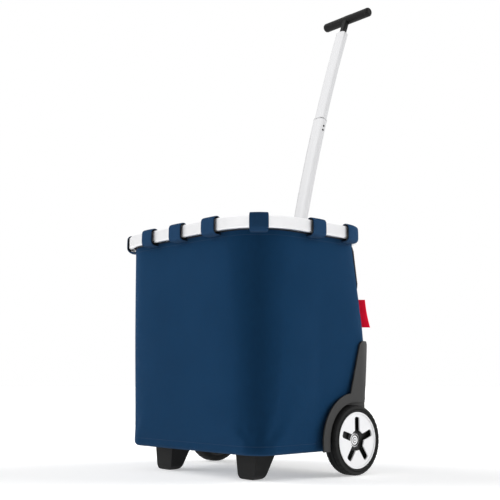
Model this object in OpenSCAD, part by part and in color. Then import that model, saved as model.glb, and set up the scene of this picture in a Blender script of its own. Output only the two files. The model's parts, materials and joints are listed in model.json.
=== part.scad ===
// Shopping trolley: a fabric bag hung from an aluminium rim, on a plastic
// chassis with two wheels behind and two feet in front, with a curved
// telescopic handle. Millimetres, Z up, front of the trolley towards -Y.

/* [Rim] */
// Width over the rim, left to right
rim_w = 424; // [416:1:428]
// Depth over the rim, front to back
rim_d = 319; // [314:1:323]
// Outside radius of the rim's corners
rim_corner_r = 98; // [90:1:102]
// Height of the rim's top edge above the ground
rim_top = 444; // [440:1:450]
// Height of the flat tube that the rim is bent from
rim_tube_h = 23; // [22:0.5:26]
// Thickness of that tube
rim_tube_t = 10; // [9:0.5:11]

/* [Bag] */
// Height of the bag's underside above the ground
bag_floor = 44.4; // [44:0.2:48]
// Thickness of the padded fabric
fabric_t = 2.2; // [1.6:0.2:3]
// Half width at the bottom
bag_foot_half_w = 185; // [182:1:187]
// Depth from the rim's centre to the bottom's front edge
bag_foot_front = 130; // [126:1:134]
// Depth from the rim's centre to the bottom's back edge
bag_foot_back = 168; // [164:1:170]
// Width of the loops that tie the bag to the rim
loop_w = 32; // [26:1:34]
// Thickness of the loop fabric
loop_t = 2.4; // [1.6:0.2:2.6]
// How far a loop stands off the rim's outside, top and bottom
loop_slack = 2; // [0.5:0.5:2]

/* [Wheels] */
// Outside radius of the tyre
tyre_r = 61.5; // [58:0.5:63]
// Width of the tyre
tyre_w = 31; // [29:0.5:32]
// Distance of the tyre's outer face from the middle of the trolley
wheel_face_x = 202.6; // [201:0.1:204]
// Distance of the axle behind the rim's centre
axle_back = 98.6; // [94:0.2:102]
// Radius of the light disc on the wheel's face
disc_r = 49.6; // [48:0.2:50]
// Radius of the axle stubs
axle_r = 5; // [4:0.5:5]
// Running clearance between an axle stub and its bush
axle_gap = 0.06; // [0.02:0.02:0.1]

/* [Feet] */
// Distance between the middles of the two front feet
foot_span = 228; // [210:2:240]
// Distance of the feet in front of the rim's centre
foot_front = 69.2; // [66:0.2:78]
// Width of a foot where it meets the bag, left to right
foot_w = 51; // [46:1:54]
// Depth of a foot there, front to back
foot_d = 47; // [44:1:50]

/* [Handle] */
// Radius of the arc that the telescopic tubes are bent to
arc_r = 3828.6; // [3700:0.2:3900]
// Middle tube's travel along the arc, in degrees
middle_travel = 4.7; // [4:0.1:4.7]
// Upper tube's travel along the arc, in degrees
upper_travel = 3.3; // [2.6:0.1:3.3]
// Length of the T-shaped grip
grip_l = 132; // [120:1:140]
// Radius of the grip's bar
grip_r = 10; // [9.6:0.1:11]
// Travel of the release button
button_travel = 4; // [3:0.5:4]

/* [Hidden] */

$fn = 64;
gap = 0.1;

// Rim: the tube's middle line is a rectangle with round corners
rim_wall = 1.5;
rim_edge_r = 3.6;
rim_mid_z = rim_top - rim_tube_h / 2;
rim_mid_r = rim_corner_r - rim_tube_t / 2;
rim_side_x = rim_w / 2 - rim_tube_t / 2;
rim_front_y = rim_d / 2 - rim_tube_t / 2;
corner_x = rim_w / 2 - rim_corner_r;
corner_y = rim_d / 2 - rim_corner_r;
rim_end_x = 21;

// Bag: rows of [height, half width, front depth, back depth, front radius, back radius]
bag_top = rim_top - 4;
bag_clear = rim_tube_t + loop_t + 0.4;
bag_back_clear = bag_clear + 3;
bag_waist = 240;
bag_edge = 6;
bag_rows = [
    [bag_top, rim_w / 2 - bag_clear, rim_d / 2 - bag_clear, rim_d / 2 - bag_back_clear,
     rim_corner_r - bag_clear, rim_corner_r - bag_clear],
    [bag_waist, 192, 138.5, 159.5, 61, 45],
    [bag_floor + bag_edge, bag_foot_half_w, bag_foot_front, bag_foot_back, 42, 38],
    [bag_floor, bag_foot_half_w - bag_edge, bag_foot_front - bag_edge, bag_foot_back - bag_edge, 36, 32]
];
yoke_low = 334;
yoke_high = 415;
yoke_t = 2;
yoke_front = 114;
tag_low = 265;
tag_high = 317;
tag_out = 18;
tag_t = 1.4;
tag_turn = 50;
front_loop_places = [-84, 0, 92];
side_loop_y = -10.4;
corner_loop_turn = loop_w / rim_mid_r * 180 / PI;
front_corner_loop_turn = 43.2;
rear_corner_loop_turn = 13;
rear_loop_x = 92;

// Chassis: a beam across the back, with an arch over each wheel
axle_z = tyre_r;
arch_gap = 5;
arch_wall = 3;
arch_r = tyre_r + arch_gap;
arch_face_x = 195.6;
arch_face_r = 83;
arch_inner_x = wheel_face_x - tyre_w - 9;
well_r = arch_r + arch_wall + 0.5;
beam_half_w = arch_inner_x - 0.8;
beam_front = 62.5;
beam_back = 166;
beam_top = 84;
beam_edge_r = 10;
beam_wall = 3;
boss_r = 10;
boss_l = 42;
socket_screw_out = 19.6;
guard_r = 51.5;
guard_x = arch_face_x - guard_r;
guard_y = 119.5;
fin_top = 238.5;
fin_foot_y = 127;
fin_round_r = 6;
board_w = 340;
board_front = 116;
board_back = 57;
board_r = 40;
plate_t = 4;

// Feet: a block with a rounded sole, whose faces lean in by these amounts from top to bottom
foot_side_lean = 5.2;
foot_front_lean = 1.2;
foot_back_lean = 22;
foot_round_r = 14;
foot_flat_w = 17;
foot_flat_d = 10;

// Wheels: distances are measured outward from the tyre's inner face
tyre_inner_x = wheel_face_x - tyre_w;
tyre_seat_r = 50.5;
tyre_shoulder_r = 5;
tyre_inner_shoulder_r = 11;
rim_band_r = 46.5;
bush_r = 8;
hub_r = 14;
hub_l = tyre_w - 13.5;
web_at = tyre_w - 14;
web_t = 3;
disc_at = tyre_w - 4.6;
disc_t = 2.4;
spoke_count = 5;
slot_r = 41;
slot_w = 12.6;
slot_end_r = 4;
disc_hole_r = 18;
cap_r = 12.2;
cap_mark_r = 4;
clip_r = 8;

// Handle: every tube follows one arc, whose centre is far behind the trolley
arc_y = 3878;
arc_z = -444.1;
outer_from = 7.37;
outer_to = 13;
middle_from = 12.15;
middle_to = 17.715;
upper_from = 16.5;
upper_to = 21.18;
outer_size = [33, 26, 11];
outer_hole = [30.6, 23.6, 9.8];
middle_size = [29, 22, 9];
middle_hole = [27, 20, 8];
rivet_r = 2.4;
upper_size = [25.8, 19, 7.6];
upper_hole = [23.8, 17, 6.6];
mm_turn = 180 / (PI * arc_r);
head_w = 66;
head_d = 36;
head_low = 398;
head_high = 445;
neck_l = 43;
neck_back = 3;
neck_w = 12.5;
neck_t = 12;
rod_r = 2.5;
button_w = 26;
button_t = 9;
button_proud = 0.8;
button_foot = 4;
shell_t = 2.5;

// Where the rim's centre lies, so that the whole trolley's box is centred on the origin
grip_y = arc_y - arc_r * cos(upper_to) + neck_l * sin(upper_to) + neck_back * cos(upper_to);
rim_y = -(grip_y + grip_r - rim_d / 2 - loop_slack - loop_t - gap) / 2;

// ---- Shared shapes ----

module placed() {
    translate([0, rim_y, 0]) children();
}

module right_and_left() {
    children();
    mirror([1, 0, 0]) children();
}

module round_rect(size) {
    r = size[2];
    square([size[0] - 2 * r, size[1]], center = true);
    square([size[0], size[1] - 2 * r], center = true);
    for (x = [-1, 1], y = [-1, 1])
        translate([x * (size[0] / 2 - r), y * (size[1] / 2 - r)]) circle(r);
}

// A bar along X from x0 to x1, round and centred on the axle line or any other
module bar_x(x0, x1, r) {
    translate([x0, 0, 0]) rotate([0, 90, 0]) cylinder(h = x1 - x0, r = r);
}

// The outline given in (y, z) as a plate from x0 to x1
module plate_x(x0, x1) {
    translate([x0, 0, 0]) rotate([90, 0, 90]) linear_extrude(x1 - x0) children();
}

module screw(head_r, head_h, shank_r, length) {
    cylinder(h = head_h, r = head_r);
    translate([0, 0, -length]) cylinder(h = length, r = shank_r);
}

// ---- Rim ----

module rim_profile(grow) {
    round_rect([rim_tube_t + 2 * grow, rim_tube_h + 2 * grow, rim_edge_r + grow]);
}

// Sweeps an outline round the rim's middle line, open behind for the handle
module round_the_rim() {
    translate([0, 0, rim_mid_z]) {
        for (x = [-1, 1])
            translate([x * rim_side_x, 0, 0]) rotate([90, 0, 0])
                linear_extrude(2 * corner_y, center = true) children();
        translate([0, -rim_front_y, 0]) rotate([90, 0, 90])
            linear_extrude(2 * corner_x, center = true) children();
        for (x = [rim_end_x, -corner_x])
            translate([x, rim_front_y, 0]) rotate([90, 0, 90])
                linear_extrude(corner_x - rim_end_x) children();
        for (turn = [0:90:270])
            translate([turn % 270 == 0 ? corner_x : -corner_x, turn < 180 ? corner_y : -corner_y, 0])
                rotate([0, 0, turn]) rotate_extrude(angle = 90) translate([rim_mid_r, 0]) children();
    }
}

module rim_tube() {
    color("gainsboro") difference() {
        round_the_rim() rim_profile(0);
        round_the_rim() rim_profile(-rim_wall);
    }
}

module rim_end_pockets() {
    right_and_left() translate([rim_end_x, rim_front_y, rim_mid_z]) rotate([90, 0, 90])
        linear_extrude(head_w) rim_profile(gap);
}

module rim_head() {
    color("dimgray") difference() {
        translate([0, rim_front_y, head_low]) linear_extrude(head_high - head_low)
            round_rect([head_w, head_d, 12]);
        rim_end_pockets();
        along_arc(outer_from, outer_to) round_rect(outer_size);
        along_arc(outer_to, outer_to + 1) round_rect([36.5, 29.5, 12]);
        rivet_places() cylinder(h = 40, r = 2, center = true);
    }
}

module rivet_places() {
    for (x = [-1, 1])
        translate([x * (head_w / 2 - 6), rim_front_y, rim_mid_z]) rotate([-90, 0, 0]) children();
}

module rim_rivets() {
    color("silver") rivet_places() {
        translate([0, 0, rim_tube_t / 2]) cylinder(h = head_d / 2 - rim_tube_t / 2, r = 2);
        translate([0, 0, head_d / 2]) cylinder(h = 1.2, r = 4);
    }
}

// The tube's outline grown by grow, and by the loops' slack everywhere but on the bag's side
module slack_outline(grow) {
    translate([loop_slack / 2, 0])
        round_rect([rim_tube_t + loop_slack + 2 * grow, rim_tube_h + 2 * loop_slack + 2 * grow,
                    rim_edge_r + loop_slack / 2 + grow]);
}

module loop_ring() {
    difference() {
        slack_outline(loop_t + gap);
        slack_outline(gap);
    }
}

// A loop on a straight side of the rim that faces +Y
module straight_loop() {
    translate([0, 0, rim_mid_z]) rotate([90, 0, 90]) linear_extrude(loop_w, center = true) loop_ring();
}

// A loop on the right corner behind (back = 1) or in front (back = -1), turned from the side
module corner_loop(back, turn) {
    translate([corner_x, back * corner_y, rim_mid_z]) rotate([0, 0, back * turn - corner_loop_turn / 2])
        rotate_extrude(angle = corner_loop_turn) translate([rim_mid_r, 0]) loop_ring();
}

module front_loops() {
    color("darkslateblue") for (x = front_loop_places)
        translate([x, -rim_front_y, 0]) mirror([0, 1, 0]) straight_loop();
}

module side_loops() {
    color("darkslateblue") right_and_left()
        translate([rim_side_x, side_loop_y, 0]) rotate([0, 0, -90]) straight_loop();
}

module corner_loops() {
    color("darkslateblue") right_and_left() {
        corner_loop(-1, front_corner_loop_turn);
        corner_loop(1, rear_corner_loop_turn);
    }
}

module rear_loops() {
    color("darkslateblue") right_and_left() translate([rear_loop_x, rim_front_y, 0]) straight_loop();
}

// ---- Bag ----

// Plan of one row of the bag, grown outward by grow
module bag_plan(row, grow) {
    hull() for (x = [-1, 1]) {
        translate([x * (row[1] - row[4]), -(row[2] - row[4])]) circle(row[4] + grow, $fn = 48);
        translate([x * (row[1] - row[5]), row[3] - row[5]]) circle(row[5] + grow, $fn = 48);
    }
}

module bag_slab(row, grow, z) {
    translate([0, 0, z]) linear_extrude(0.01) bag_plan(row, grow);
}

module bag_block(grow, lift, rise) {
    hull() {
        bag_slab(bag_rows[0], grow, bag_rows[0][0] + rise);
        for (i = [1:3]) bag_slab(bag_rows[i], grow, bag_rows[i][0] + lift);
    }
}

// The space that the wheels, their arches and the chassis beam take out of the bag
module chassis_space(grow) {
    right_and_left() plate_x(arch_inner_x - 0.5 - grow, 2 * rim_side_x) arch_opening(well_r + grow);
    translate([-arch_inner_x, beam_front - 0.5 - grow, -rim_top])
        cube([2 * arch_inner_x, rim_d, rim_top + beam_top + 1.5 + grow]);
}

module bag() {
    color("midnightblue") difference() {
        bag_block(0, 0, 0);
        difference() {
            bag_block(-fabric_t, fabric_t, 1);
            chassis_space(fabric_t);
        }
        chassis_space(0);
        on_arc(outer_from) linear_extrude(70) square([41, 34], center = true);
        back_notch(0);
        foot_screw_places() cylinder(h = 20, r = 2.1, center = true, $fn = 16);
    }
}

// The notch in the top of the bag's back that the handle and its head come through
module back_notch(low) {
    on_arc(outer_to) translate([0, 0, low - 60]) linear_extrude(120)
        square([outer_size[0] + 3, outer_size[1] + 3], center = true);
    translate([0, rim_front_y, head_low + 50]) cube([head_w + 2, head_d + 2, 102], center = true);
}

module bag_hem() {
    hem_t = 2;
    hem_h = 14;
    hem_in = fabric_t + 0.8;
    color("midnightblue") translate([0, 0, bag_top - hem_h]) linear_extrude(hem_h) difference() {
        bag_plan(bag_rows[0], -hem_in);
        bag_plan(bag_rows[0], -hem_in - hem_t);
        translate([0, bag_rows[0][3]]) square([head_w + 2, 30], center = true);
    }
}

module back_yoke() {
    color("black") intersection() {
        difference() {
            bag_block(yoke_t + gap, 0, 0);
            bag_block(gap, -1, 1);
        }
        translate([-rim_w / 2, yoke_front, 0]) cube([rim_w, rim_d, rim_top]);
        difference() {
            translate([-rim_w / 2, 0, yoke_low]) cube([rim_w, rim_d, yoke_high - yoke_low]);
            back_notch(4);
        }
    }
}

// Middle of the bag's back corner at height z, and its radius there
function corner_row(z) = let (t = (bag_top - z) / (bag_top - bag_waist))
    bag_rows[0] + t * (bag_rows[1] - bag_rows[0]);

module tag_bar(z) {
    row = corner_row(z);
    translate([row[1] - row[5], row[3] - row[5], z]) rotate([0, 0, tag_turn])
        translate([row[5] + gap, -tag_t / 2, 0]) cube([tag_out, tag_t, 0.01]);
}

module side_tag() {
    color("crimson") hull() {
        tag_bar(tag_low);
        tag_bar(tag_high);
    }
}

module board(z, t, grow) {
    difference() {
        translate([0, (board_back - board_front) / 2, z]) linear_extrude(t)
            round_rect([board_w + 2 * grow, board_front + board_back + 2 * grow, board_r + grow]);
        chassis_space(fabric_t + 1);
    }
}

module floor_board() {
    color("midnightblue") board(bag_floor + fabric_t + plate_t + 2 * gap, plate_t, 1);
}

module base_plate() {
    color("dimgray") difference() {
        board(bag_floor + fabric_t + gap, plate_t, 0);
        foot_screw_places() cylinder(h = 60, r = 2.1, center = true);
        foot_screw_places() translate([0, 0, -2.1]) cylinder(h = 5, r = 4.1);
    }
}

// ---- Feet ----

module foot_places() {
    for (x = [-1, 1]) translate([x * foot_span / 2, -foot_front, 0]) children();
}

module foot_screw_places() {
    foot_places() translate([0, 0, bag_floor + fabric_t + plate_t + gap]) children();
}

// A foot seen from the front or the side: its top is w wide, its faces lean in by a and b,
// and the middle of its sole is flat
module foot_outline(w, a, b, flat) {
    intersection() {
        polygon([[-w / 2, bag_floor], [w / 2, bag_floor], [w / 2 - b, 0], [a - w / 2, 0]]);
        union() {
            translate([-w / 2, foot_round_r]) square([w, bag_floor]);
            translate([(a - b - flat) / 2, 0]) square([flat, foot_round_r]);
            for (x = [-1, 1]) intersection() {
                translate([(a - b + x * flat) / 2, foot_round_r]) circle(foot_round_r);
                translate([-w / 2, 0]) square([w, foot_round_r]);
            }
        }
    }
}

module front_foot(side) {
    color([0.17, 0.17, 0.17]) difference() {
        translate([side * foot_span / 2, -foot_front, 0]) intersection() {
            plate_x(-foot_w / 2, foot_w / 2)
                foot_outline(foot_d, foot_front_lean, foot_back_lean, foot_flat_d);
            rotate([90, 0, 0]) linear_extrude(foot_d, center = true)
                foot_outline(foot_w, foot_side_lean, foot_side_lean, foot_flat_w);
        }
        foot_screw_places() translate([0, 0, -36]) cylinder(h = 40, r = 2.1);
    }
}

module front_foot_left() {
    front_foot(-1);
}

module front_foot_right() {
    front_foot(1);
}

module foot_screws() {
    color("silver") difference() {
        foot_screw_places() translate([0, 0, -2]) screw(4, 1.9, 2, 32);
        foot_screw_places() translate([0, 0, -1.1]) cylinder(h = 2, r = 2, $fn = 6);
    }
}

// ---- Chassis ----

module beam_outline(inset) {
    r = beam_edge_r - inset;
    w = beam_back - beam_front;
    translate([(beam_front + beam_back) / 2, (bag_floor + beam_top) / 2])
        round_rect([w - 2 * inset, beam_top - bag_floor - 2 * inset, r]);
}

module rear_chassis() {
    color([0.2, 0.2, 0.2]) difference() {
        union() {
            difference() {
                plate_x(-beam_half_w, beam_half_w) beam_outline(0);
                plate_x(-beam_half_w + beam_wall, beam_half_w - beam_wall) beam_outline(beam_wall);
                translate([-beam_half_w + beam_wall, beam_front + beam_edge_r, bag_floor - 1])
                    cube([2 * (beam_half_w - beam_wall), beam_back - beam_front - 2 * beam_edge_r, beam_wall + 2]);
            }
            right_and_left() translate([0, axle_back, axle_z]) bar_x(beam_half_w - boss_l, beam_half_w, boss_r);
            for (x = [-100, -50, 50, 100])
                plate_x(x - 1, x + 1) beam_outline(beam_wall - 0.1);
        }
        right_and_left() translate([0, axle_back, axle_z])
            bar_x(beam_half_w - boss_l - 1, beam_half_w + 1, axle_r);
        along_arc(outer_from - 1, outer_from + 2) round_rect([39.4, 32.4, 13]);
        chassis_screw_places() cylinder(h = 30, r = 2.05, center = true);
        socket_screw_places() cylinder(h = 12, r = 2.05, center = true);
        socket_screw_places() cylinder(h = 6, r = 3.8);
    }
}

module chassis_screw_places() {
    for (side = [-1, 1], y = [-1, 1])
        translate([side * (arch_inner_x + arch_wall), axle_back + y * 24, axle_z + 4])
            rotate([0, side * 90, 0]) children();
}

module chassis_screws() {
    color("silver") chassis_screw_places() screw(4, 2.2, 2, 10);
}

// The wheel opening seen from the side: round in front, running out flat behind
module arch_opening(r) {
    translate([axle_back, axle_z]) circle(r, $fn = 96);
    translate([axle_back, -rim_top]) square([rim_d, rim_top + axle_z + r]);
    translate([axle_back - r, -rim_top]) square([2 * r, rim_top + axle_z]);
}

// The fin that runs up the bag's corner, seen from the side
module fin_outline() {
    top_front = 117.5;
    top_back = 143.5;
    foot_front_y = 84;
    foot_z = 128;
    polygon([[foot_front_y, foot_z], [fin_foot_y, foot_z], [top_back - 1, fin_top - fin_round_r],
             [top_back - fin_round_r, fin_top], [top_front + fin_round_r, fin_top],
             [top_front - 1, fin_top - fin_round_r], [foot_front_y + 6, 146]]);
}

module arch_face_outline() {
    difference() {
        union() {
            translate([axle_back, axle_z]) circle(arch_face_r, $fn = 96);
            translate([axle_back - arch_face_r, bag_floor]) square([arch_face_r, axle_z - bag_floor]);
            fin_outline();
        }
        arch_opening(arch_r);
        translate([0, -1]) square([rim_d, bag_floor + 1]);
        polygon([[fin_foot_y, 0], [rim_d, 0], [rim_d, 146], [fin_foot_y + 2.8, 146], [fin_foot_y, 128]]);
    }
}

// Plan of the arch's outside, which turns with the bag's back corner
module guard_plan(inset) {
    translate([0, -rim_d]) square([arch_face_x - inset, rim_d + guard_y]);
    translate([guard_x, guard_y]) circle(guard_r - inset, $fn = 96);
    translate([0, -rim_d]) square([guard_x, rim_d + guard_y + guard_r - inset]);
}

// The part of that plan that the arch's roof covers, cut slantwise behind the fin
module shelf_plan() {
    polygon([[0, -rim_d], [arch_face_x, -rim_d], [arch_face_x, fin_foot_y],
             [arch_inner_x, fin_foot_y + arch_face_x - arch_inner_x], [0, beam_back]]);
}

module wheel_arch() {
    difference() {
        union() {
            intersection() {
                plate_x(100, 260) arch_face_outline();
                linear_extrude(rim_top) difference() {
                    guard_plan(0);
                    guard_plan(arch_wall);
                }
            }
            intersection() {
                plate_x(arch_inner_x, arch_face_x - 1) difference() {
                    arch_opening(arch_r + arch_wall);
                    arch_opening(arch_r);
                }
                translate([0, 0, bag_floor]) linear_extrude(rim_top) guard_plan(0);
                linear_extrude(rim_top) shelf_plan();
            }
            intersection() {
                plate_x(arch_inner_x, arch_inner_x + arch_wall) arch_opening(arch_r + 1);
                translate([0, -rim_d, bag_floor]) cube([rim_w, rim_d + beam_back - 4, rim_top]);
            }
        }
        translate([0, axle_back, axle_z]) bar_x(100, 180, axle_r);
        chassis_screw_places() cylinder(h = 30, r = 2.05, center = true);
    }
}

module wheel_arch_right() {
    color([0.32, 0.31, 0.3]) wheel_arch();
}

module wheel_arch_left() {
    color([0.32, 0.31, 0.3]) mirror([1, 0, 0]) wheel_arch();
}

module axle_stub() {
    translate([0, axle_back, axle_z]) bar_x(beam_half_w - boss_l + 2, tyre_inner_x + hub_l + 3, axle_r);
}

module axle_right() {
    color("silver") axle_stub();
}

module axle_left() {
    color("silver") mirror([1, 0, 0]) axle_stub();
}

module axle_clips() {
    color("silver") right_and_left() translate([tyre_inner_x + hub_l + 0.6, axle_back, axle_z]) difference() {
        bar_x(0, 1.4, clip_r);
        bar_x(-1, 3, axle_r);
    }
}

// ---- Wheels ----

// Turns a half outline, given as (radius, distance outward), about the axle
module wheel_turn() {
    translate([tyre_inner_x, axle_back, axle_z]) rotate([0, 90, 0]) rotate_extrude($fn = 128) children();
}

module tyre() {
    wheel_turn() intersection() {
        translate([(tyre_r + tyre_seat_r) / 2 - 10, tyre_w / 2])
            round_rect([tyre_r - tyre_seat_r + 20, tyre_w, tyre_shoulder_r]);
        translate([(tyre_r + tyre_seat_r) / 2 - 10, tyre_w])
            round_rect([tyre_r - tyre_seat_r + 20, 2 * tyre_w, tyre_inner_shoulder_r]);
        translate([tyre_seat_r, 0]) square([tyre_r, tyre_w]);
    }
}

module wheel_core() {
    wheel_turn() {
        translate([rim_band_r, 2]) square([tyre_seat_r - rim_band_r, disc_at - 2]);
        translate([hub_r - 1, web_at]) square([rim_band_r - hub_r + 2, web_t]);
        translate([hub_r - 1, web_at]) square([disc_hole_r - hub_r + 2, web_t + 3]);
        translate([bush_r, 1]) square([hub_r - bush_r, hub_l - 1]);
    }
    for (i = [0:spoke_count - 1])
        translate([tyre_inner_x + 8, axle_back, axle_z]) rotate([i * 360 / spoke_count + 36, 0, 0])
            translate([0, -1.5, hub_r - 1]) cube([web_at - 7, 3, rim_band_r - hub_r + 2]);
}

module wheel_disc() {
    difference() {
        wheel_turn() {
            translate([disc_hole_r, disc_at]) square([disc_r - disc_hole_r - 1, disc_t]);
            translate([disc_r - 3, disc_at]) square([3, disc_t + 0.8]);
        }
        for (i = [0:spoke_count - 1])
            translate([tyre_inner_x + disc_at - 1, axle_back, axle_z])
                rotate([i * 360 / spoke_count, 0, 0]) plate_x(0, disc_t + 4)
                    translate([0, (slot_r + hub_r) / 2]) round_rect([slot_w, slot_r - hub_r, slot_end_r]);
    }
}

module wheel_bush() {
    wheel_turn() {
        translate([axle_r + axle_gap, 0]) square([bush_r - axle_r - axle_gap, hub_l]);
        translate([axle_r + axle_gap, 0]) square([hub_r - axle_r - 1, 1]);
    }
}

module hub_cap() {
    wheel_turn() difference() {
        union() {
            translate([0, hub_l]) square([cap_r, 4.6]);
            translate([0, hub_l + 4.6]) square([cap_r - 2, 1]);
            intersection() {
                translate([cap_r - 2, hub_l + 3.6]) circle(2);
                translate([0, hub_l]) square([cap_r, 8]);
            }
        }
        translate([0, hub_l - 1]) square([cap_r - 1.6, 5.2]);
        translate([cap_mark_r, hub_l + 4.9]) square([cap_r - 3 - cap_mark_r, 1]);
    }
}

module tyre_right() {
    color([0.2, 0.2, 0.2]) tyre();
}

module tyre_left() {
    color([0.2, 0.2, 0.2]) mirror([1, 0, 0]) tyre();
}

module wheel_core_right() {
    color([0.08, 0.08, 0.08]) wheel_core();
}

module wheel_core_left() {
    color([0.08, 0.08, 0.08]) mirror([1, 0, 0]) wheel_core();
}

module wheel_disc_right() {
    color("gainsboro") wheel_disc();
}

module wheel_disc_left() {
    color("gainsboro") mirror([1, 0, 0]) wheel_disc();
}

module wheel_bush_right() {
    color("white") wheel_bush();
}

module wheel_bush_left() {
    color("white") mirror([1, 0, 0]) wheel_bush();
}

module hub_cap_right() {
    color("silver") hub_cap();
}

module hub_cap_left() {
    color("silver") mirror([1, 0, 0]) hub_cap();
}

// ---- Handle ----

// Sweeps an outline along the handle's arc, from one angle to another above the arc's centre
module along_arc(from, to) {
    translate([0, arc_y, arc_z]) rotate([90, 0, -90])
        rotate_extrude(angle = to - from, start = from, $fn = 1440)
            translate([arc_r, 0]) rotate([0, 0, 90]) children();
}

// Places a straight piece on the arc, with its own Z along the arc
module on_arc(turn) {
    translate([0, arc_y - arc_r * cos(turn), arc_z + arc_r * sin(turn)]) rotate([-turn, 0, 0]) children();
}

module arc_tube(from, to, size, hole) {
    along_arc(from, to) difference() {
        round_rect(size);
        round_rect(hole);
    }
}

module outer_tube() {
    color("silver") arc_tube(outer_from, outer_to, outer_size, outer_hole);
}

module tube_socket() {
    color("dimgray") difference() {
        along_arc(outer_from, outer_from + 50 * mm_turn) round_rect([39, 32, 12.8]);
        along_arc(outer_from, outer_from + 60 * mm_turn) round_rect(outer_size);
        socket_screw_places() cylinder(h = 16, r = 2.05, center = true);
    }
}

module socket_screw_places() {
    for (x = [-1, 1])
        on_arc(outer_from + 15 * mm_turn) translate([x * 7, -socket_screw_out, 0]) rotate([90, 0, 0]) children();
}

module socket_screws() {
    color("silver") socket_screw_places() screw(3.6, 1.2, 2, 6);
}

module middle_tube() {
    color("gainsboro") difference() {
        arc_tube(middle_from, middle_to, middle_size, middle_hole);
        middle_rivet_places() cylinder(h = 6, r = rivet_r, center = true);
    }
}

module middle_rivet_places() {
    for (side = [-1, 1], low = [15.5, 25])
        on_arc(middle_to - low * mm_turn) translate([side * middle_size[0] / 2, 0, 0])
            rotate([0, side * 90, 0]) children();
}

module middle_rivets() {
    color("black") middle_rivet_places() translate([0, 0, -1]) cylinder(h = 1.3, r = rivet_r);
}

module middle_cap() {
    color("gainsboro") arc_tube(middle_to, middle_to + 2.4 * mm_turn, [29.6, 22.6, 9.3], [26.6, 19.8, 7.9]);
}

// A plug in the foot of a sliding tube, with a flange that fits the tube around it
module guide_plug(from, plug, flange) {
    difference() {
        union() {
            along_arc(from, from + 30 * mm_turn) round_rect(plug);
            along_arc(from - 5 * mm_turn, from) round_rect(flange);
        }
        on_arc(from) cylinder(h = 80, r = 4, center = true);
        catch_place(from) cylinder(h = 20, r = 3.2, center = true);
    }
}

module catch_place(from) {
    on_arc(from + 12 * mm_turn) translate([0, 6, 0]) rotate([90, 0, 0]) children();
}

module middle_guide() {
    color("black") guide_plug(middle_from, [26.8, 19.8, 7.9], [29.9, 22.9, 9.45]);
}

module middle_catch() {
    color("silver") catch_place(middle_from) cylinder(h = 4, r = 3, center = true);
}

module upper_tube() {
    color("gainsboro") arc_tube(upper_from, upper_to, upper_size, upper_hole);
}

module upper_guide() {
    color("black") guide_plug(upper_from, [23.6, 16.8, 6.5], [26.4, 19.4, 7.7]);
}

module upper_catch() {
    color("silver") catch_place(upper_from) cylinder(h = 2.6, r = 3, center = true);
}

module on_grip() {
    on_arc(upper_to) translate([0, neck_back, neck_l]) children();
}

module grip_neck() {
    color([0.12, 0.12, 0.12]) on_arc(upper_to) difference() {
        union() {
            translate([0, 0, -25]) linear_extrude(25) round_rect([23.6, 16.8, 6.5]);
            translate([0, 0.6, -1]) linear_extrude(neck_l + 1) round_rect([neck_w, neck_t, 3]);
            hull() {
                translate([0, 0.3, -1]) linear_extrude(1.5) round_rect([neck_w + 4, neck_t + 2, 4]);
                translate([0, 0.6, 6]) linear_extrude(0.1) round_rect([neck_w, neck_t, 3]);
            }
        }
        translate([0, neck_back, neck_l]) bar_x(-grip_l, grip_l, grip_r + gap);
        translate([0, 0, -26]) cylinder(h = 80, r = 3.6);
    }
}

module grip_hollow() {
    bar_x(-grip_l / 2, grip_l / 2, grip_r - shell_t);
}

// The front (side = -1) or back (side = 1) half of the grip's bar
module grip_shell(side) {
    on_grip() difference() {
        bar_x(-grip_l / 2 + 8, grip_l / 2 - 8, grip_r);
        grip_hollow();
        translate([0, -side * grip_l / 2, 0]) cube([2 * grip_l, grip_l, grip_l], center = true);
        translate([0, -neck_back, -grip_r - 5]) cylinder(h = grip_r, r = 4);
        linear_extrude(2 * grip_r) round_rect([button_w + 0.8, button_t + 0.8, button_t / 2]);
        for (x = [-1, 1])
            translate([x * 38, 0, 0]) rotate([-90, 0, 0]) cylinder(h = 2 * grip_r, r = 2);
    }
}

module grip_front_shell() {
    color([0.12, 0.12, 0.12]) grip_shell(-1);
}

module grip_back_shell() {
    color([0.15, 0.15, 0.15]) grip_shell(1);
}

module grip_end_caps() {
    color([0.12, 0.12, 0.12]) on_grip() right_and_left()
        translate([grip_l / 2 - 8, 0, 0]) rotate([0, 90, 0]) rotate_extrude() {
            square([grip_r - 5, 8]);
            square([grip_r, 3]);
            intersection() {
                translate([grip_r - 5, 3]) circle(5);
                translate([0, 0]) square([grip_r, 8]);
            }
            translate([0, -6]) square([grip_r - shell_t - gap, 6]);
        }
}

module grip_screws() {
    color("silver") on_grip() for (x = [-1, 1])
        translate([x * 38, grip_r - shell_t, 0]) rotate([-90, 0, 0]) cylinder(h = 1.9, r = 1.9);
}

module release_button() {
    color([0.25, 0.25, 0.25]) on_grip() translate([0, 0, button_foot])
        linear_extrude(grip_r + button_proud - button_foot) round_rect([button_w, button_t, button_t / 2 - 0.1]);
}

module button_spring() {
    color("silver") on_grip() for (i = [0:2])
        translate([0, -neck_back, -3 + i * 1.2]) rotate_extrude() translate([3.2, 0]) circle(0.4, $fn = 24);
}

module push_rod() {
    color("silver")
        along_arc(upper_from + 8 * mm_turn, upper_to + (neck_l + button_foot - 0.2) * mm_turn) circle(rod_r);
}

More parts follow.
